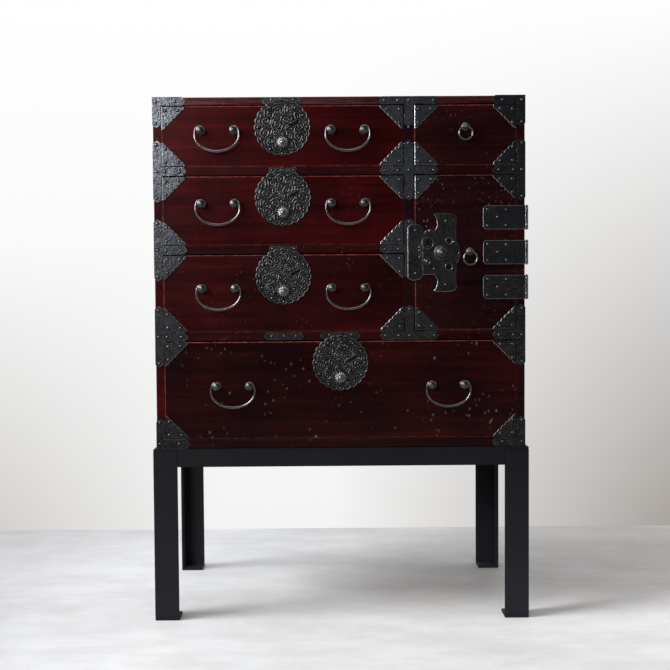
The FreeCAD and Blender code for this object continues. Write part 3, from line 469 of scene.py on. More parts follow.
def soften(node, material, radius, rim=None):
    """The CAD node's form with its arrises rounded, as a piece in its place; rim is their metal."""
    bm = bmesh.new()
    bm.from_mesh(nodes[node].data)
    bmesh.ops.remove_doubles(bm, verts=bm.verts, dist=1e-6)
    bmesh.ops.dissolve_limit(bm, angle_limit=math.radians(2), verts=bm.verts, edges=bm.edges)
    arrises = [edge for edge in bm.edges
               if len(edge.link_faces) == 2 and edge.calc_face_angle() > math.radians(25)]
    bmesh.ops.bevel(bm, geom=arrises, offset=radius, segments=2, affect="EDGES", clamp_overlap=True,
                    material=1 if rim else 0)
    piece = from_bmesh(node + "_eased", bm, material, carrier[node])
    if rim:
        piece.data.materials.append(rim)
    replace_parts(piece, node)


def dress_frame():
    """Metal, paint and wood of the stand, the carcass and the drawer boxes."""
    for name in nodes:
        if name.startswith("stand_"):
            soften(name, stand_paint, 0.7 * MM)
        elif name.endswith("_box") or name == "back_panel":
            dress(name, softwood)
        elif name in ("hinge_pins", "hinge_side_leaves"):
            dress(name, sheet_iron)
        elif "iron" in name or name == "strike_plates" or name.startswith("hinge_"):
            soften(name, sheet_iron, 1.0 * MM, rim_iron)
    # Each board's tone is partly its own colour and partly painted shade.
    boards = {"top_board": (1.0, 0.6), "bottom_board": (0.5, 0.15), "wide_shelf": (0.6, 0.35),
              "left_shelf_upper": (0.7, 0.3), "left_shelf_lower": (0.65, 0.25),
              "right_shelf": (0.5, 0.2), "column_divider": (0.35, 0.2), "side_left": (0.9, 0.2),
              "side_right": (0.5, 0.3)}
    for name, (tone, rub_and_light) in boards.items():
        low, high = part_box(name)
        # The top board's ends paint light on its left and shade on its right.
        dust, ends = (0.5, (1.15, 0.52)) if name == "top_board" else (0.0, (1, 1))
        # The rub weight brightens the left, right and top arris, partly by rubbing and partly as a
        # painted highlight.
        lacquer = make_lacquer("lacquer_" + name, low, high, tone, (rub_and_light, rub_and_light, 0.0, rub_and_light), 0.35,
                               ends, dust, painted_gap_shade=0.8)
        soften(name, lacquer, 0.8 * MM)


# ---- drawer fronts and door


def make_front(body, node, tone, weights, specks, ends, grit):
    """The lacquered board of a drawer or the door, with round arrises bright partly from rubbing and
    partly as a painted highlight.
    """
    low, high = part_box(node)
    bm = bmesh.new()
    bmesh.ops.create_cube(bm, size=1)
    bmesh.ops.scale(bm, vec=Vector(high) - Vector(low), verts=bm.verts)
    bmesh.ops.translate(bm, vec=centre(node), verts=bm.verts)
    bmesh.ops.bevel(bm, geom=bm.edges[:], offset=0.9 * MM, segments=3, affect="EDGES")
    lacquer = make_lacquer("lacquer_" + node, low, high, tone, weights, specks, ends,
                           grit=grit, raised=0.8 if body == "door" else 0.0)
    piece = from_bmesh(body + "_board", bm, lacquer, body)
    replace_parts(piece, node)


# ---- corner plates


def corner_outline(leg, tip):
    """Upper left corner plate, its long edge cut in shallow scallops between blunt tips."""
    points = [(0, 0), (leg, 0)]
    scallops = 6
    steps = 8 * scallops
    for i in range(steps + 1):
        share = i / steps
        x = leg + (tip - leg) * share
        z = tip + (leg - tip) * share
        swell = 1.2 * MM * abs(math.sin(math.pi * scallops * share)) - 0.4 * MM
        points.append((x + swell / math.sqrt(2), -(z + swell / math.sqrt(2))))
    points.append((0, -leg))
    return points


def make_corner_plates(body):
    """Four triangular plates with three nails each, in place of the CAD ones."""
    node = body + "_corner_plates"
    low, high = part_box(node)
    outline = corner_outline(39 * MM, 2.4 * MM)
    nails = ((6.5, 7), (27, 6.5), (6.5, 29))
    places = []
    for i, (x, z, way_x, way_z) in enumerate(((low[0], high[2], 1, 1), (high[0], high[2], -1, 1),
                                              (high[0], low[2], -1, -1), (low[0], low[2], 1, -1))):
        shape = [(x + way_x * px, z + way_z * pz) for px, pz in outline]
        plate = make_plate(f"{node}_{i}", shape, face_y - plate_y, sheet_iron, body)
        for face in plate.data.polygons:
            if min(abs(face.center.x - x), abs(face.center.z - z)) < 1.1 * MM:
                face.material_index = 0
        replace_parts(plate, node)
        places += [(x + way_x * nx * MM, plate_y, z - way_z * nz * MM) for nx, nz in nails]
    make_nails(node + "_nails", places, body)


# ---- round lock plates


LOBES = 24
KEYHOLE = ((0.24, 0.03), (0.54, 0.19))  # its round hole and the end of its slot, in radii
# angle, share of the radius, in a ring or not
RIVETS = ((57, 0.80, True), (122, 0.80, True), (0, 0.85, False), (30, 0.82, False),
          (152, 0.82, False), (180, 0.85, False), (208, 0.85, False), (241, 0.87, False),
          (270, 0.90, False), (329, 0.85, False))


def vine_relief(u, v, seed):
    """Scrolls of vine that fill a disc of radius 0.84, one round each centre, 0 to 1. Where two
    meet, the line of the nearer one goes on, so the stems join."""
    rng = np.random.default_rng(seed)
    crowd = 1.2 if seed < 2 else 1.45
    centres = []
    for ring, count in ((0.63, round(9 * crowd)), (0.27, round(4 * crowd))):
        for i in range(count):
            turn = 2 * math.pi * (i + rng.uniform(-0.2, 0.2)) / count
            reach = ring + rng.uniform(-0.05, 0.05)
            centres.append((reach * math.cos(turn), reach * math.sin(turn), 1 if i % 2 else -1,
                            rng.uniform(0, 2 * math.pi), rng.uniform(0.105, 0.14) / crowd))
    nearest = np.full(u.shape, 9.0)
    height = np.zeros(u.shape)
    for x, z, way, start, pitch in centres:
        bent_u = u - x + 0.02 * np.sin(19 * v + start)
        bent_v = v - z + 0.02 * np.sin(17 * u + start)
        reach = np.hypot(bent_u, bent_v)
        turn = way * np.arctan2(bent_v, bent_u) + start
        wave = np.cos(2 * math.pi * reach / pitch - turn)
        line = np.clip((wave - 0.40) / 0.45, 0, 1) * (0.8 + 0.2 * np.cos(3 * turn))
        height = np.where(reach < nearest, line, height)
        nearest = np.minimum(nearest, reach)
    return height


def lock_relief(u, v, seed):
    """Chased ornament of a lock plate of radius 1, 0 to 1: vine, and two lines that follow the
    lobes. It keeps clear of the keyhole and the rivets."""
    reach = np.hypot(u, v) / lobed(np.arctan2(v, u))
    stipple = 0.2 * np.sin(95 * u + 3 * np.sin(40 * v)) * np.sin(95 * v + 2 * np.sin(50 * u))
    (start_u, start_v), (end_u, end_v) = KEYHOLE
    run_u, run_v = end_u - start_u, end_v - start_v
    share = ((u - start_u) * run_u + (v - start_v) * run_v) / (run_u ** 2 + run_v ** 2)
    share = np.clip(share, 0, 1)
    gap = np.hypot(u - start_u - share * run_u, v - start_v - share * run_v)
    inside = np.maximum(vine_relief(u, v, seed), stipple) * np.clip((gap - 0.06) / 0.03, 0, 1)
    inside = np.maximum(inside, 0.7 * np.clip(1.2 - np.abs(gap - 0.07) / 0.014, 0, 1))
    for turn, out, _ in RIVETS:
        angle = math.radians(turn)
        clear = np.hypot(u - out * math.cos(angle), v - out * math.sin(angle))
        inside = inside * np.clip((clear - 0.055) / 0.025, 0, 1)
    rim = 0.85 * np.clip(1.2 - np.abs(reach - 0.962) / 0.024, 0, 1)
    line = 0.65 * np.clip(1.2 - np.abs(reach - 0.875) / 0.014, 0, 1)
    return np.where(reach > 0.85, np.maximum(rim, line), inside)


def lobed(angle):
    """Radius of the plate's edge: round lobes with sharp notches between."""
    return 1 - 0.055 * (1 - np.abs(np.cos(0.5 * LOBES * angle))) ** 1.4


def disc_mesh(name, front, back):
    """A closed smooth mesh: front has a row of points for each ring from the middle out, back is the
    ring behind the last one."""
    rings, turns, _ = front.shape
    verts = np.vstack([front.reshape(-1, 3), back])
    faces = [(i * turns + j, i * turns + (j + 1) % turns, (i + 1) * turns + (j + 1) % turns,
              (i + 1) * turns + j) for i in range(rings) for j in range(turns)]
    faces.append(tuple(range(turns)))
    faces.append(tuple(rings * turns + i for i in reversed(range(turns))))
    mesh = bpy.data.meshes.new(name)
    mesh.from_pydata([tuple(vert) for vert in verts], [], faces)
    mesh.shade_smooth()
    return mesh


def make_lock_plate(body, node, seed):
    """Round lobed plate with raised ornament, on the place of the CAD plate."""
    low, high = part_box(node)
    radius = (high[0] - low[0]) / 2
    x, _, z = centre(node)
    turns = 384
    steps = np.linspace(0.004, 1, 84)
    angles = np.linspace(0, 2 * math.pi, turns, endpoint=False)
    reach, angle = np.meshgrid(steps, angles, indexing="ij")
    rim = lobed(angle)
    u = reach * rim * np.cos(angle)
    v = reach * rim * np.sin(angle)
    relief = lock_relief(u, v, seed)
    dish = 0.35 * MM * (1 - reach ** 2)
    lift = 0.85 * MM + 0.75 * MM * relief + dish
    lift = np.where(reach > 0.985, 0.7 * MM, lift)
    front = np.stack([x + radius * u, face_y - lift, z + radius * v], axis=-1)
    back = front[-1].copy()
    back[:, 1] = face_y - 0.02 * MM
    mesh = disc_mesh(node + "_plate", front, back)
    shine = mesh.attributes.new("relief", "FLOAT", "POINT")
    shine.data.foreach_set("value", np.append(relief.ravel(), np.zeros(turns)).astype(np.float32))
    plate = put(node + "_plate", mesh, chased_iron)
    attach(plate, body)
    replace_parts(plate, node)
    return x, z, radius


def make_boss(body, x, z):
    """Chrysanthemum boss: a fluted dome that rises to a bead."""
    bm = bmesh.new()
    base_y = face_y - 1.2 * MM
    radius = 12.4 * MM
    height = 10.0 * MM
    petals = 16
    dome = ((1, 0), (1, 0.10), (0.96, 0.28), (0.85, 0.47), (0.69, 0.62), (0.52, 0.72), (0.38, 0.77),
            (0.30, 0.76))
    revolve(bm, [(radius * wide, height * high) for wide, high in dome], (x, base_y, z), 8 * petals,
            petals, 0.26)
    bead = ((0.9, 0.72), (1, 0.79), (0.92, 0.87), (0.70, 0.93), (0.36, 0.97), (0.08, 0.98))
    revolve(bm, [(0.29 * radius * wide, height * high) for wide, high in bead], (x, base_y, z), 20)
    forged(body + "_lock_boss", bm, boss_iron, body)


def ring_of_metal(bm, x, y, z, radius, wire, turns, sides=8):
    """A ring of round wire that faces the front."""
    rings = []
    for i in range(turns):
        turn = 2 * math.pi * i / turns
        ring = []
        for j in range(sides):
            tilt = 2 * math.pi * j / sides
            reach = radius + wire * math.cos(tilt)
            ring.append(bm.verts.new((x + reach * math.cos(turn), y - wire * math.sin(tilt),
                                      z + reach * math.sin(turn))))
        rings.append(ring)
    bridge(bm, rings + rings[:1], capped=False)


def make_slot(name, body, start, end, width, y):
    """A dark keyhole slot from start to end, a round hole at its start."""
    bm = bmesh.new()
    along = Vector((end[0] - start[0], 0, end[1] - start[1]))
    turn = math.atan2(along.z, along.x)
    outline = []
    for i in range(13):
        angle = turn + math.pi / 2 + math.pi * i / 12
        outline.append((start[0] + width * math.cos(angle), y, start[1] + width * math.sin(angle)))
    for i in range(7):
        angle = turn - math.pi / 2 + math.pi * i / 6
        outline.append((end[0] + 0.7 * width * math.cos(angle), y,
                        end[1] + 0.7 * width * math.sin(angle)))
    bm.faces.new([bm.verts.new(point) for point in outline])
    slot = from_bmesh(name, bm, void, body)
    slot.modifiers.new("depth", "SOLIDIFY").thickness = 0.12 * MM


def make_lock(body, seed):
    """A drawer's round lock plate with its boss, rivets and keyhole."""
    node = body + "_lock"
    x, z, radius = make_lock_plate(body, node, seed)
    top_y = face_y - 1.75 * MM
    boss_z = z - 25 * MM
    make_boss(body, x, boss_z)
    bm = bmesh.new()
    ring_of_metal(bm, x, top_y, boss_z, 13.2 * MM, 0.7 * MM, 48)
    rivets = []
    for turn, reach, ringed in RIVETS:
        angle = math.radians(turn)
        place = (x + reach * radius * math.cos(angle), top_y, z + reach * radius * math.sin(angle))
        rivets.append(place)
        if ringed:
            ring_of_metal(bm, *place, 4.6 * MM, 0.6 * MM, 32)
    forged(node + "_rings", bm, plate_iron, body)
    make_nails(node + "_rivets", rivets, body, 2.2 * MM, 1.7 * MM)
    keyhole = [(x + u * radius, z + v * radius) for u, v in KEYHOLE]
    make_slot(node + "_keyhole", body, *keyhole, 1.8 * MM, face_y - 2.0 * MM)
    make_nails(node + "_key_pin", [(keyhole[0][0], face_y - 2.1 * MM, keyhole[0][1])], body,
               1.1 * MM, 0.8 * MM)


# ---- bails and posts


KNOB_REACH = 26.75 * MM  # from the middle of a bail to each of its knobs
BAIL_DROP = 35.2 * MM  # from the pivot axis to the grip


def bail_path(half, shoulder):
    """Centre line of a bail's right half, in X and Z from the middle of the pivot axis: a quarter
    ellipse from the grip up to the shoulder, then a bend in over the knob."""
    points = []
    for i in range(22):
        angle = -math.pi / 2 + math.pi / 2 * i / 21
        points.append(Vector((half * math.cos(angle), 0,
                              -shoulder + (BAIL_DROP - shoulder) * math.sin(angle))))
    bend = (Vector((half, 0, -shoulder)), Vector((half, 0, -0.15 * shoulder)),
            Vector((0.965 * half, 0, 0.72 * shoulder)), Vector((0.79 * half, 0, 0.80 * shoulder)))
    for i in range(1, 9):
        t = i / 8
        points.append((1 - t) ** 3 * bend[0] + 3 * t * (1 - t) ** 2 * bend[1]
                      + 3 * t * t * (1 - t) * bend[2] + t ** 3 * bend[3])
    return points


def make_bail(node, pivot):
    """Forged bail: a bar thick at the grip that thins and curls over the knob at each end."""
    x, y, z = pivot
    right = bail_path(36.3 * MM, 8.6 * MM)
    left = [Vector((-point.x, 0, point.z)) for point in reversed(right)]
    line = [point + Vector((x, y, z)) for point in left + right[1:]]
    radii = []
    for point in line:
        depth = min(max((z - point.z) / BAIL_DROP, 0), 1)
        radii.append((1.25 + 1.10 * depth ** 1.4) * MM)
    for i in range(7):
        share = 0.45 + 0.55 * i / 6
        radii[i] *= share
        radii[-1 - i] *= share
    bm = bmesh.new()
    tube(bm, line, radii, 12, 0.86)
    grip = len(bm.faces)
    for side in (-1, 1):
        add_knob(bm, x + side * KNOB_REACH, y, z, side)
    bm.faces.ensure_lookup_table()
    for face in bm.faces[grip:]:
        face.material_index = 1
    bail = forged(node + "_forging", bm, bail_iron, node)
    bail.data.materials.append(knob_iron)
    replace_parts(bail, node)


def add_knob(bm, x, y, z, side):
    """Rounded eye at the end of a bail, a thick lens about the pivot."""
    radius = 7.4 * MM
    depth = 3.4 * MM
    steps = 8
    profile = [(radius * math.sin(math.pi * (i + 0.25) / (steps + 0.5)),
                -depth * math.cos(math.pi * (i + 0.25) / (steps + 0.5))) for i in range(steps + 1)]
    revolve(bm, profile, (x + side * 0.4 * MM, y, z), 24)


def make_posts(body, pivots):
    """Fluted washers and pins behind the eyes of a drawer's bails."""
    node = body + "_bail_posts"
    bm = bmesh.new()
    for x, y, z in pivots:
        washer = [(7.7 * MM, 0), (7.4 * MM, 0.7 * MM), (6.0 * MM, 1.6 * MM), (3.4 * MM, 2.3 * MM),
                  (2.6 * MM, 3.0 * MM), (2.4 * MM, face_y - y)]
        revolve(bm, washer, (x, face_y, z), 48, 12, 0.08)
        pin = [(1.9 * MM, 0), (1.9 * MM, 3.35 * MM), (1.4 * MM, 3.6 * MM)]
        revolve(bm, pin, (x, y, z), 12)
    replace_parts(forged(node + "_forged", bm, knob_iron, body), node)


def dress_bails(body):
    """The two bails of a drawer and their four posts."""
    pivots = []
    for side in ("left", "right"):
        node = f"{body}_bail_{side}"
        pivot = joints[node + "_pivot"]["pos_m"]
        make_bail(node, pivot)
        for way in (-1, 1):
            pivots.append((pivot[0] + way * KNOB_REACH, pivot[1], pivot[2]))
    make_posts(body, pivots)


def dress_ring(body):
    """Ring pull of round bar in the eye of a domed post."""
    node = body + "_ring"
    x, y, z = joints[node + "_swing"]["pos_m"]
    bm = bmesh.new()
    radius = 11 * MM
    ring_of_metal(bm, x, y, z - radius, radius, 1.55 * MM, 48, 12)
    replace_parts(forged(node + "_bar", bm, bail_iron, node), node)
    bm = bmesh.new()
    dome = [(7.7 * MM, 0), (7.5 * MM, 1.2 * MM), (6.8 * MM, 2.7 * MM), (5.4 * MM, 4.1 * MM),
            (3.4 * MM, 5.1 * MM), (1.4 * MM, 5.5 * MM)]
    revolve(bm, dome, (x, face_y, z), 32)
    eye = [Vector((x, y + 4.6 * MM, z))]
    bend = 3.35 * MM
    for i in range(25):
        turn = math.pi * 0.16 + 2 * math.pi * 0.84 * i / 24
        eye.append(Vector((x, y + bend * math.cos(turn), z + bend * math.sin(turn))))
    tube(bm, eye, [2.6 * MM] + [1.15 * MM] * 25, 10, 1.5, (1, 0, 0))
    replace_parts(forged(node + "_post_forged", bm, knob_iron, body), node + "_post")


# ---- nails of the carcass irons


STRAP = 44 * MM  # from the middle of a rail to the last nail of an upright strap


def side_nails(edge, way, rails, corners):
    """Nails of the T-irons and corner irons along one side, way pointing to its inside."""
    inset, near, far = 5 * MM, 19 * MM, 43 * MM
    spots = []
    for z in rails:
        spots += [(edge + way * inset, z + rise * STRAP) for rise in (-1, 0, 1)]
        spots += [(edge + way * near, z), (edge + way * far, z)]
    for z, rise in zip(corners, (-1, 1)):
        spots += [(edge + way * inset, z), (edge + way * 37 * MM, z),
                  (edge + way * inset, z + rise * 36 * MM)]
    return spots


def nail_carcass():
    """Nails of the corner irons, T-irons, crossed irons and strike plates."""
    top, upper, lower, shelf, bottom = (centre(node)[2] for node in (
        "top_board", "left_shelf_upper", "left_shelf_lower", "wide_shelf", "bottom_board"))
    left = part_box("side_left")[0][0]
    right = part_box("side_right")[1][0]
    middle = centre("column_divider")[0]
    spots = side_nails(left, 1, (upper, lower, shelf), (top, bottom))
    spots += side_nails(right, -1, (upper, shelf), (top, bottom))
    for z, straps in ((top, (-1,)), (upper, (-1, 1)), (lower, (-1, 1)), (shelf, (1,))):
        spots += [(middle, z), (middle - 18 * MM, z), (middle - 40 * MM, z)]
        spots += [(middle, z + rise * STRAP) for rise in straps]
        if z != lower:
            spots.append((middle + 41 * MM, z))
    make_nails("carcass_iron_nails", [(x, sheet_y, z) for x, z in spots], "chest")
    strikes = []
    for body, z in zip(LOCKED_DRAWERS, (top, upper, lower, shelf)):
        strikes += around(centre(body + "_lock")[0], z, ((-18, 1.5), (18, 1.5)))
    strikes += around(centre("drawer_1_lock")[0], shelf, ((-20, 0), (0, 0), (20, 0)))
    make_nails("strike_plate_nails", [(x, sheet_y, z) for x, z in strikes], "chest", 2.0 * MM)


# ---- door fittings


def make_dome(x, z):
    """Stepped dome with a nub, in the middle of the door's lock plate."""
    bm = bmesh.new()
    profile = ((13.2, 0), (13.2, 0.8), (12.6, 1.5), (11.4, 1.6), (10.2, 1.5), (9.8, 2.4),
               (9.2, 4.0), (7.8, 5.6), (5.6, 6.9), (3.0, 7.6), (2.4, 7.7), (2.2, 8.3), (1.5, 8.8),
               (0.4, 8.95))
    revolve(bm, around(0, 0, profile), (x, plate_y, z), 48)
    forged("door_lock_boss", bm, dome_iron, "door")


def dress_door_lock():
    """The door's lock: its plates and boss, nails, keyhole, button and drilled holes."""
    z = centre("door_lock")[2]
    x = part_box("column_divider")[1][0] + 45 * MM
    make_dome(x, z)
    make_axe_plate(x, z)
    make_catch_plate(x, z)
    make_welt(x, z)
    places = around(x, z, ((7, 52), (6.5, -53), (20.5, 17.5), (29, -1), (-12, -27)))
    places += around(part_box("door_catch_plate")[0][0], z,
                     ((13, 37), (13.5, -34), (20, 9), (20, 3.5), (20, -8)))
    make_nails("door_lock_nails", [(u, plate_y, v) for u, v in places], "door")
    key_pin, slot_middle, slot_end, button = around(x, z, ((-23, 10), (-23, 16), (-23, 22),
                                                           (-24, -14)))
    dark_y = plate_y - 0.1 * MM
    make_slot("door_keyhole", "door", key_pin, slot_end, 2.2 * MM, dark_y)
    for name, spot, radius, height in (("door_key_pin", key_pin, 1.3, 1.0),
                                       ("door_lock_button", button, 3.2, 1.4)):
        make_nails(name, [(spot[0], plate_y, spot[1])], "door", radius * MM, height * MM)
    rings = bmesh.new()
    for i, (u, v, radius) in enumerate(((12.5, 19.5, 5.0), (12, -23.5, 5.5))):
        hole = (x + u * MM, z + v * MM)
        make_slot(f"door_lock_hole_{i}", "door", hole, hole, radius * MM, dark_y)
        # The bright ring round each hole is a painted highlight of the light on its inner edge.
        ring_of_metal(rings, hole[0], plate_y, hole[1], (radius + 0.5) * MM, 0.7 * MM, 32)
    ring_of_metal(rings, slot_middle[0], plate_y, slot_middle[1], 9.5 * MM, 0.6 * MM, 40)
    ring_of_metal(rings, button[0], plate_y, button[1], 5.0 * MM, 0.6 * MM, 32)
    forged("door_lock_rings", rings, bail_iron, "door")


def arc(start, end, bulge, steps=10):
    """Points from start up to end on an arc that bows right of the way by bulge half chords."""
    middle = ((start[0] + end[0]) / 2, (start[1] + end[1]) / 2)
    half = ((end[0] - start[0]) / 2, (end[1] - start[1]) / 2)
    points = []
    for i in range(steps):
        t = math.pi * (1 - i / steps)
        along = math.cos(t)
        rise = bulge * math.sin(t)
        points.append((middle[0] + half[0] * along + half[1] * rise,
                       middle[1] + half[1] * along - half[0] * rise))
    return points


def make_axe_plate(x, z):
    """The door's lock plate round x, z: two horned blades, tucked under the catch plate."""
    low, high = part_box("door_lock")
    top = (high[2] - low[2]) / 2 / MM
    left = (low[0] - x) / MM - 1.6
    corners = [(25, 17), (25.5, 56), (20, top - 2), (-15, top - 1.5), (-8.3, 50), (-14.5, 36.5),
               (-21.5, 36.8), (-28, 33.5), (-31.5, 34), (left, 40.5)]
    bulges = (-0.05, 0.3, 0.11, -0.28, -0.42, 0.7, 0.5, 0.0, 0.0)
    outline = []
    for start, end, bulge in zip(corners, corners[1:], bulges):
        outline += arc(start, end, bulge, 8)
    outline += [corners[-1], (left, -38), (-30, -36.5), (-22, -36.5)]
    lower = [(-14.5, -36.5), (-8.3, -50), (-15.5, 1.5 - top), (20, 2 - top), (25.5, -56), (25, -17)]
    for start, end, bulge in zip(lower, lower[1:], (-0.42, -0.28, 0.11, 0.3, -0.05)):
        outline += arc(start, end, bulge, 8)
    outline += arc(lower[-1], corners[0], 0.34, 14)
    plate = make_plate("door_axe_plate", around(x, z, outline), face_y - plate_y - 0.1 * MM,
                       plate_iron, "door")
    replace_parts(plate, "door_lock")


def make_catch_plate(x, z):
    """The narrow plate at the door's left edge, its outline measured from x, z."""
    low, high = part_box("door_catch_plate")
    near = (high[0] - x) / MM
    far = (low[0] - x) / MM
    edge = ((near, 41.5), (near - 5.5, 46.6), (far + 5, 46.6), (far, 42), (far, -40.5),
            (far + 3, -44), (far + 9, -46.5), (near - 4, -43.5), (near, -38))
    catch = make_plate("door_catch_sheet", around(x, z, edge), face_y - plate_y, plate_iron, "door")
    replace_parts(catch, "door_catch_plate")


def make_welt(x, z):
    """A thin scalloped bead on the catch plate, along the axe plate."""
    line = []
    beads = ((-28, 33.5), (-33.5, 25.5), (-36, 14), (-35, 3), (-37, -8))
    for start, end, bulge in zip(beads, beads[1:], (0.45, 0.35, 0.25, 0.3)):
        scallop = around(x, z, arc(end, start, bulge, 6)[::-1])
        line += [Vector((u, plate_y, v)) for u, v in scallop]
    bm = bmesh.new()
    tube(bm, line, [0.55 * MM] * len(line), 8)
    forged("door_lock_welt", bm, plate_iron, "door")


def add_barrel(bm, x, y, low_z, high_z):
    """One round knuckle of a hinge, its ends eased."""
    radius = 2.85 * MM
    ease = 0.5 * MM
    rings = []
    for z, reach in ((low_z, radius - ease), (low_z + ease, radius), (high_z - ease, radius),
                     (high_z, radius - ease)):
        rings.append([bm.verts.new((x + reach * math.cos(i * math.pi / 12),
                                    y + reach * math.sin(i * math.pi / 12), z)) for i in range(24)])
    bridge(bm, rings)


def add_knuckle(barrel, painted_highlight, axis, z, length, gap):
    """One knuckle with its middle at z, and beside it a bright line of edge metal: a painted
    highlight on the knuckle's round.
    """
    add_barrel(barrel, axis[0], axis[1], z - length / 2 + gap, z + length / 2 - gap)
    # A bright strip of edge metal on the knuckle's front: a painted highlight on its round.
    shine = [Vector((axis[0] - 1.9 * MM, plate_y + 0.25 * MM, z + end * length))
            for end in (-0.48, 0.48)]
    tube(painted_highlight, shine, [0.7 * MM] * 2, 8)


def add_leaf_arris(bm, left, right, foot, top):
    """Bright arris of a door leaf, along its free edges and the two corners cut off it: partly
    rubbed metal and partly a painted highlight.
    """
    corner = 4 * MM
    path = ((right, top), (left + corner, top), (left, top - corner), (left, foot + corner),
            (left + corner, foot), (right, foot))
    tube(bm, [Vector((x, plate_y + 0.15 * MM, z)) for x, z in path], [0.65 * MM] * len(path), 8)


def dress_hinges():
    """Nails and bright arrises of the door's hinge leaves, partly rubbed and partly a painted
    highlight, and the round of their knuckles, each with a painted highlight beside it.
    """
    low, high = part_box("hinge_door_leaves")
    height = 39 * MM
    third = height / 3
    pitch = ((high[2] - low[2]) - height) / 2
    axis = joints["door_hinge"]["pos_m"]
    ease = 0.2 * MM
    places = []
    arris = bmesh.new()
    knuckles = {"door": bmesh.new(), "chest": bmesh.new()}
    painted_highlights = {"door": bmesh.new(), "chest": bmesh.new()}
    for i in (-1, 0, 1):
        z = centre("hinge_door_leaves")[2] + i * pitch
        add_leaf_arris(arris, low[0] + ease, axis[0] - 3 * MM, z - height / 2 + ease,
                       z + height / 2 - ease)
        for way, body, gap in ((0, "door", 0.2), (-1, "chest", 0.1), (1, "chest", 0.1)):
            add_knuckle(knuckles[body], painted_highlights[body], axis, z + way * third, third, gap * MM)
        nails = around(low[0], z, ((7, 13.5), (38, 13), (23.5, 0.5), (7, -13.5), (38, -13)))
        places += [(u, plate_y, v) for u, v in nails]
    make_nails("hinge_nails", places, "door")
    line = from_bmesh("hinge_leaf_arrises", arris, rim_iron, "door")
    for body, bm in knuckles.items():
        forged(f"hinge_{body}_barrels", bm, bail_iron, body)
        shine = from_bmesh(f"hinge_{body}_creases", painted_highlights[body], rim_iron, body)


# ---- stage, light and camera


WALL_DISTANCE = 0.70  # from the stand's front to the end of the floor


def make_floor():
    """Pale screed that ends where the wall begins, with painted shade to the back and the left and a
    warm painted shadow to the right. What it throws back on the chest is that of a dim room."""
    s = Shader("pale_floor")
    mottle = s.noise(2.2, 8, 0.62)
    seen = s.ramp(mottle, (0.3, (0.71, 0.715, 0.73)), (0.7, (0.82, 0.827, 0.845)))
    # Painted shade: 0.88 times towards the back and 0.73 times to the left.
    seen = s.times(seen, (0.88, 0.88, 0.88), s.slope("Y", 0.1, 2.2))
    seen = s.times(seen, (0.73, 0.73, 0.74), s.slope("X", -0.3, -2.5))
    streaks = s.ramp(s.noise(11, 7, 0.72, s.scaled(0.45, 1, 1)), (0.40, (0.88, 0.865, 0.85)),
                     (0.60, (1.03, 1.03, 1.03)))
    seen = s.times(seen, streaks, 0.8)
    # Painted shadow: warmer to the right and 0.76 times at the back right, where the chest's shadow
    # falls.
    seen = s.times(seen, (0.98, 0.965, 0.945), s.slope("X", -0.15, 3))
    far_right = s.maths("MULTIPLY", s.slope("Y", 0.1, 4), s.slope("X", 0.0, 3))
    seen = s.times(seen, (0.76, 0.75, 0.74), far_right)
    seen_directly = s.new("LightPath").outputs["Is Camera Ray"]
    s.link(s.mix(seen_directly, (0.075, 0.075, 0.075), seen), "Base Color")
    s.set(Roughness=0.55, Specular_IOR_Level=0.3)
    s.bump(s.noise(14, 6, 0.6), 0.05, 1 * MM)
    wall_y = stand_front_y + WALL_DISTANCE
    corners = ((-4, -3.5, 0), (4, -3.5, 0), (4, wall_y, 0), (-4, wall_y, 0))
    mesh = bpy.data.meshes.new("floor")
    mesh.from_pydata(corners, [], [(0, 1, 2, 3)])
    floor = put("floor", mesh, s.material)
    return floor


def make_world():
    """Light from behind the chest and a dark room in front of it. The camera sees a white wall with
    painted shade that darkens it low down to both sides."""
    world = bpy.data.worlds.new("studio")
    world.use_nodes = True
    bpy.context.scene.world = world
    s = Nodes(world.node_tree, "Generated")

    def fade(axis, near, far, low, high):
        node = s.new("MapRange", Value=s.axis(axis))
        sockets = ("From Min", "From Max", "To Min", "To Max")
        for socket, value in zip(sockets, (near, far, low, high)):
            node.inputs[socket].default_value = value
        return node.outputs[0]

    light = s.tree.nodes["Background"]
    s.feed(light, "Color", (0.94, 0.97, 1.0, 1))
    s.feed(light, "Strength", fade("Y", -0.45, 0.0, 0.025, 0.55))
    # Painted shade on the wall: darker low down to the right and to the left.
    right = s.maths("MULTIPLY", fade("X", 0.0, 0.3, 0.1, 0.68), fade("Z", 0.25, -0.216, 0, 1))
    left = s.maths("MULTIPLY", fade("X", -0.1, -0.3, 0.0, 0.30), fade("Z", 0.05, -0.216, 0, 1))
    dim = s.ramp(s.maths("ADD", right, left), (0.0, 1.0), (0.4, (0.62, 0.606, 0.595)),
                 (0.7, (0.35, 0.318, 0.29)))
    wall = s.new("Background", Color=dim, Strength=1.0)
    seen_directly = s.new("LightPath").outputs["Is Camera Ray"]
    mix = s.new("MixShader")
    for socket, value in enumerate((seen_directly, light.outputs[0], wall.outputs[0])):
        s.feed(mix, socket, value)
    s.tree.links.new(mix.outputs[0], s.tree.nodes["World Output"].inputs["Surface"])


def aim(name, data, place, target):
    """That light in the scene at place, turned to the target."""
    lamp = bpy.data.objects.new(name, data)
    lamp.location = place
    lamp.rotation_euler = (Vector(target) - Vector(place)).to_track_quat("-Z", "Y").to_euler()
    bpy.context.collection.objects.link(lamp)
    return lamp


def make_lamp(name, place, target, size, power, colour):
    """A flat lamp of that width and height, not seen by the camera."""
    data = bpy.data.lights.new(name, "AREA")
    data.shape = "RECTANGLE"
    data.size, data.size_y = size
    data.energy = power
    data.color = colour
    aim(name, data, place, target).visible_camera = False


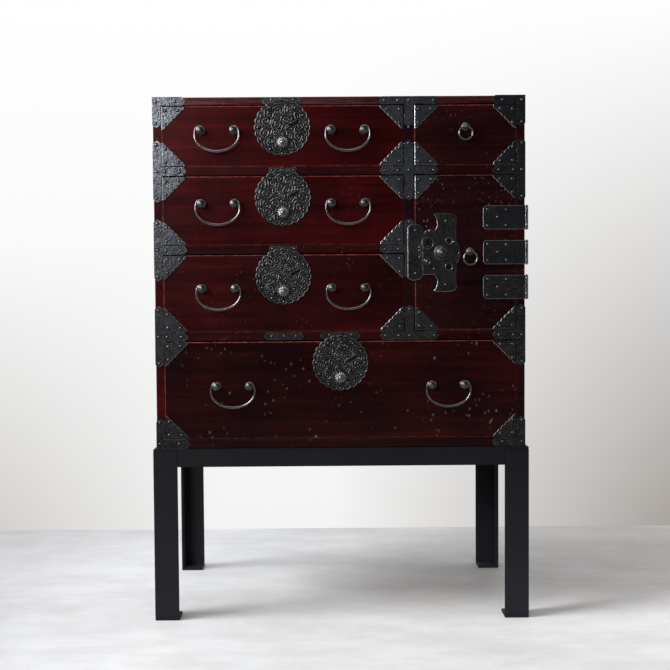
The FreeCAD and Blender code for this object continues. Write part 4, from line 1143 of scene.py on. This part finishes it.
def make_sun(name, place, strength, angle, colour, lit):
    """Even light from that side of the chest for the lit collection alone, its angle in degrees
    softening the shadows."""
    data = bpy.data.lights.new(name, "SUN")
    data.energy = strength
    data.angle = math.radians(angle)
    data.color = colour
    aim(name, data, place, (0, 0, 0)).light_linking.receiver_collection = lit


PHOTO_WIDTH = 670  # in pixels
FOCAL_LENGTH = 1085  # in the photo's pixels, worked out from the stand's edges


def make_camera():
    """The photograph's camera: place from the stand's front, turns in radians."""
    place = Vector((-16.92 * MM, stand_front_y - 1794.65 * MM, 548.13 * MM))
    yaw, pitch, roll = -0.00446, -0.04024, 0.0070
    turn = (Matrix.Rotation(yaw, 3, "Z") @ Matrix.Rotation(pitch, 3, "X")
            @ Matrix.Rotation(roll, 3, "Y"))
    right, forward, up = turn.transposed()
    data = bpy.data.cameras.new("camera")
    data.sensor_width = 36
    data.lens = data.sensor_width * FOCAL_LENGTH / PHOTO_WIDTH
    camera = bpy.data.objects.new("camera", data)
    rotation = Matrix((right, up, -forward)).transposed()
    camera.matrix_world = Matrix.Translation(place) @ rotation.to_4x4()
    bpy.context.collection.objects.link(camera)
    bpy.context.scene.camera = camera


# ---- the whole scene

dress_frame()
# Each front's tone is partly its own colour and partly painted shade; its ends paint light and shade
# across it, and its weights brighten each arris, partly by rubbing and partly as a painted
# highlight.
for body, tone, weights, specks, ends, grit in (
        ("drawer_1", 1.0, (0.7, 0.15, 0.5, 1.0), 0.05, (1.12, 0.60), 190),
        ("drawer_2", 0.97, (0.7, 0.15, 0.4, 1.0), 0.1, (1.15, 0.85), 190),
        ("drawer_3", 0.74, (0.8, 0.15, 0.4, 1.0), 0.2, (1.05, 0.68), 190),
        ("drawer_4", 0.65, (0.9, 0.25, 0.4, 1.0), 0.6, (0.55, 1.0), 125),
        ("small_drawer", 0.47, (0.9, 0.4, 0.4, 1.0), 0.25, (1.0, 0.9), 190),
        ("door", 0.46, (1.0, 0.4, 0.8, 0.9), 1.3, (1.1, 0.9), 215)):
    front = "door_panel" if body == "door" else body + "_front"
    make_front(body, front, tone, weights, specks, ends, grit)
    make_corner_plates(body)
for seed, body in enumerate(LOCKED_DRAWERS):
    make_lock(body, seed)
    dress_bails(body)
dress_ring("small_drawer")
dress_ring("door")
dress_door_lock()
dress_hinges()
nail_carcass()
floor = make_floor()
make_world()
make_lamp("window", (-1.05, -0.78, 1.15), (-0.1, -0.17, 0.65), (0.6, 0.8), 6, (0.97, 0.985, 1.0))
make_lamp("far_window", (-1.55, -3.3, 1.5), (-0.2, -0.17, 0.75), (1.0, 0.75), 15, (0.94, 0.97, 1.0))
make_lamp("ceiling", (-0.6, 0.3, 2.6), (-0.4, 0.2, 0), (2.4, 2.4), 11, (0.99, 0.99, 1.0))
lit_floor = bpy.data.collections.new("lit_floor")
lit_floor.objects.link(floor)
make_sun("floor_daylight", (-1.9, -0.5, 1.55), 2.85, 26, (0.965, 0.985, 1.0), lit_floor)
make_sun("floor_fill", (0.1, -2.0, 0.7), 1.3, 60, (1.0, 0.86, 0.74), lit_floor)
make_camera()
bpy.context.scene.view_settings.view_transform = "Standard"
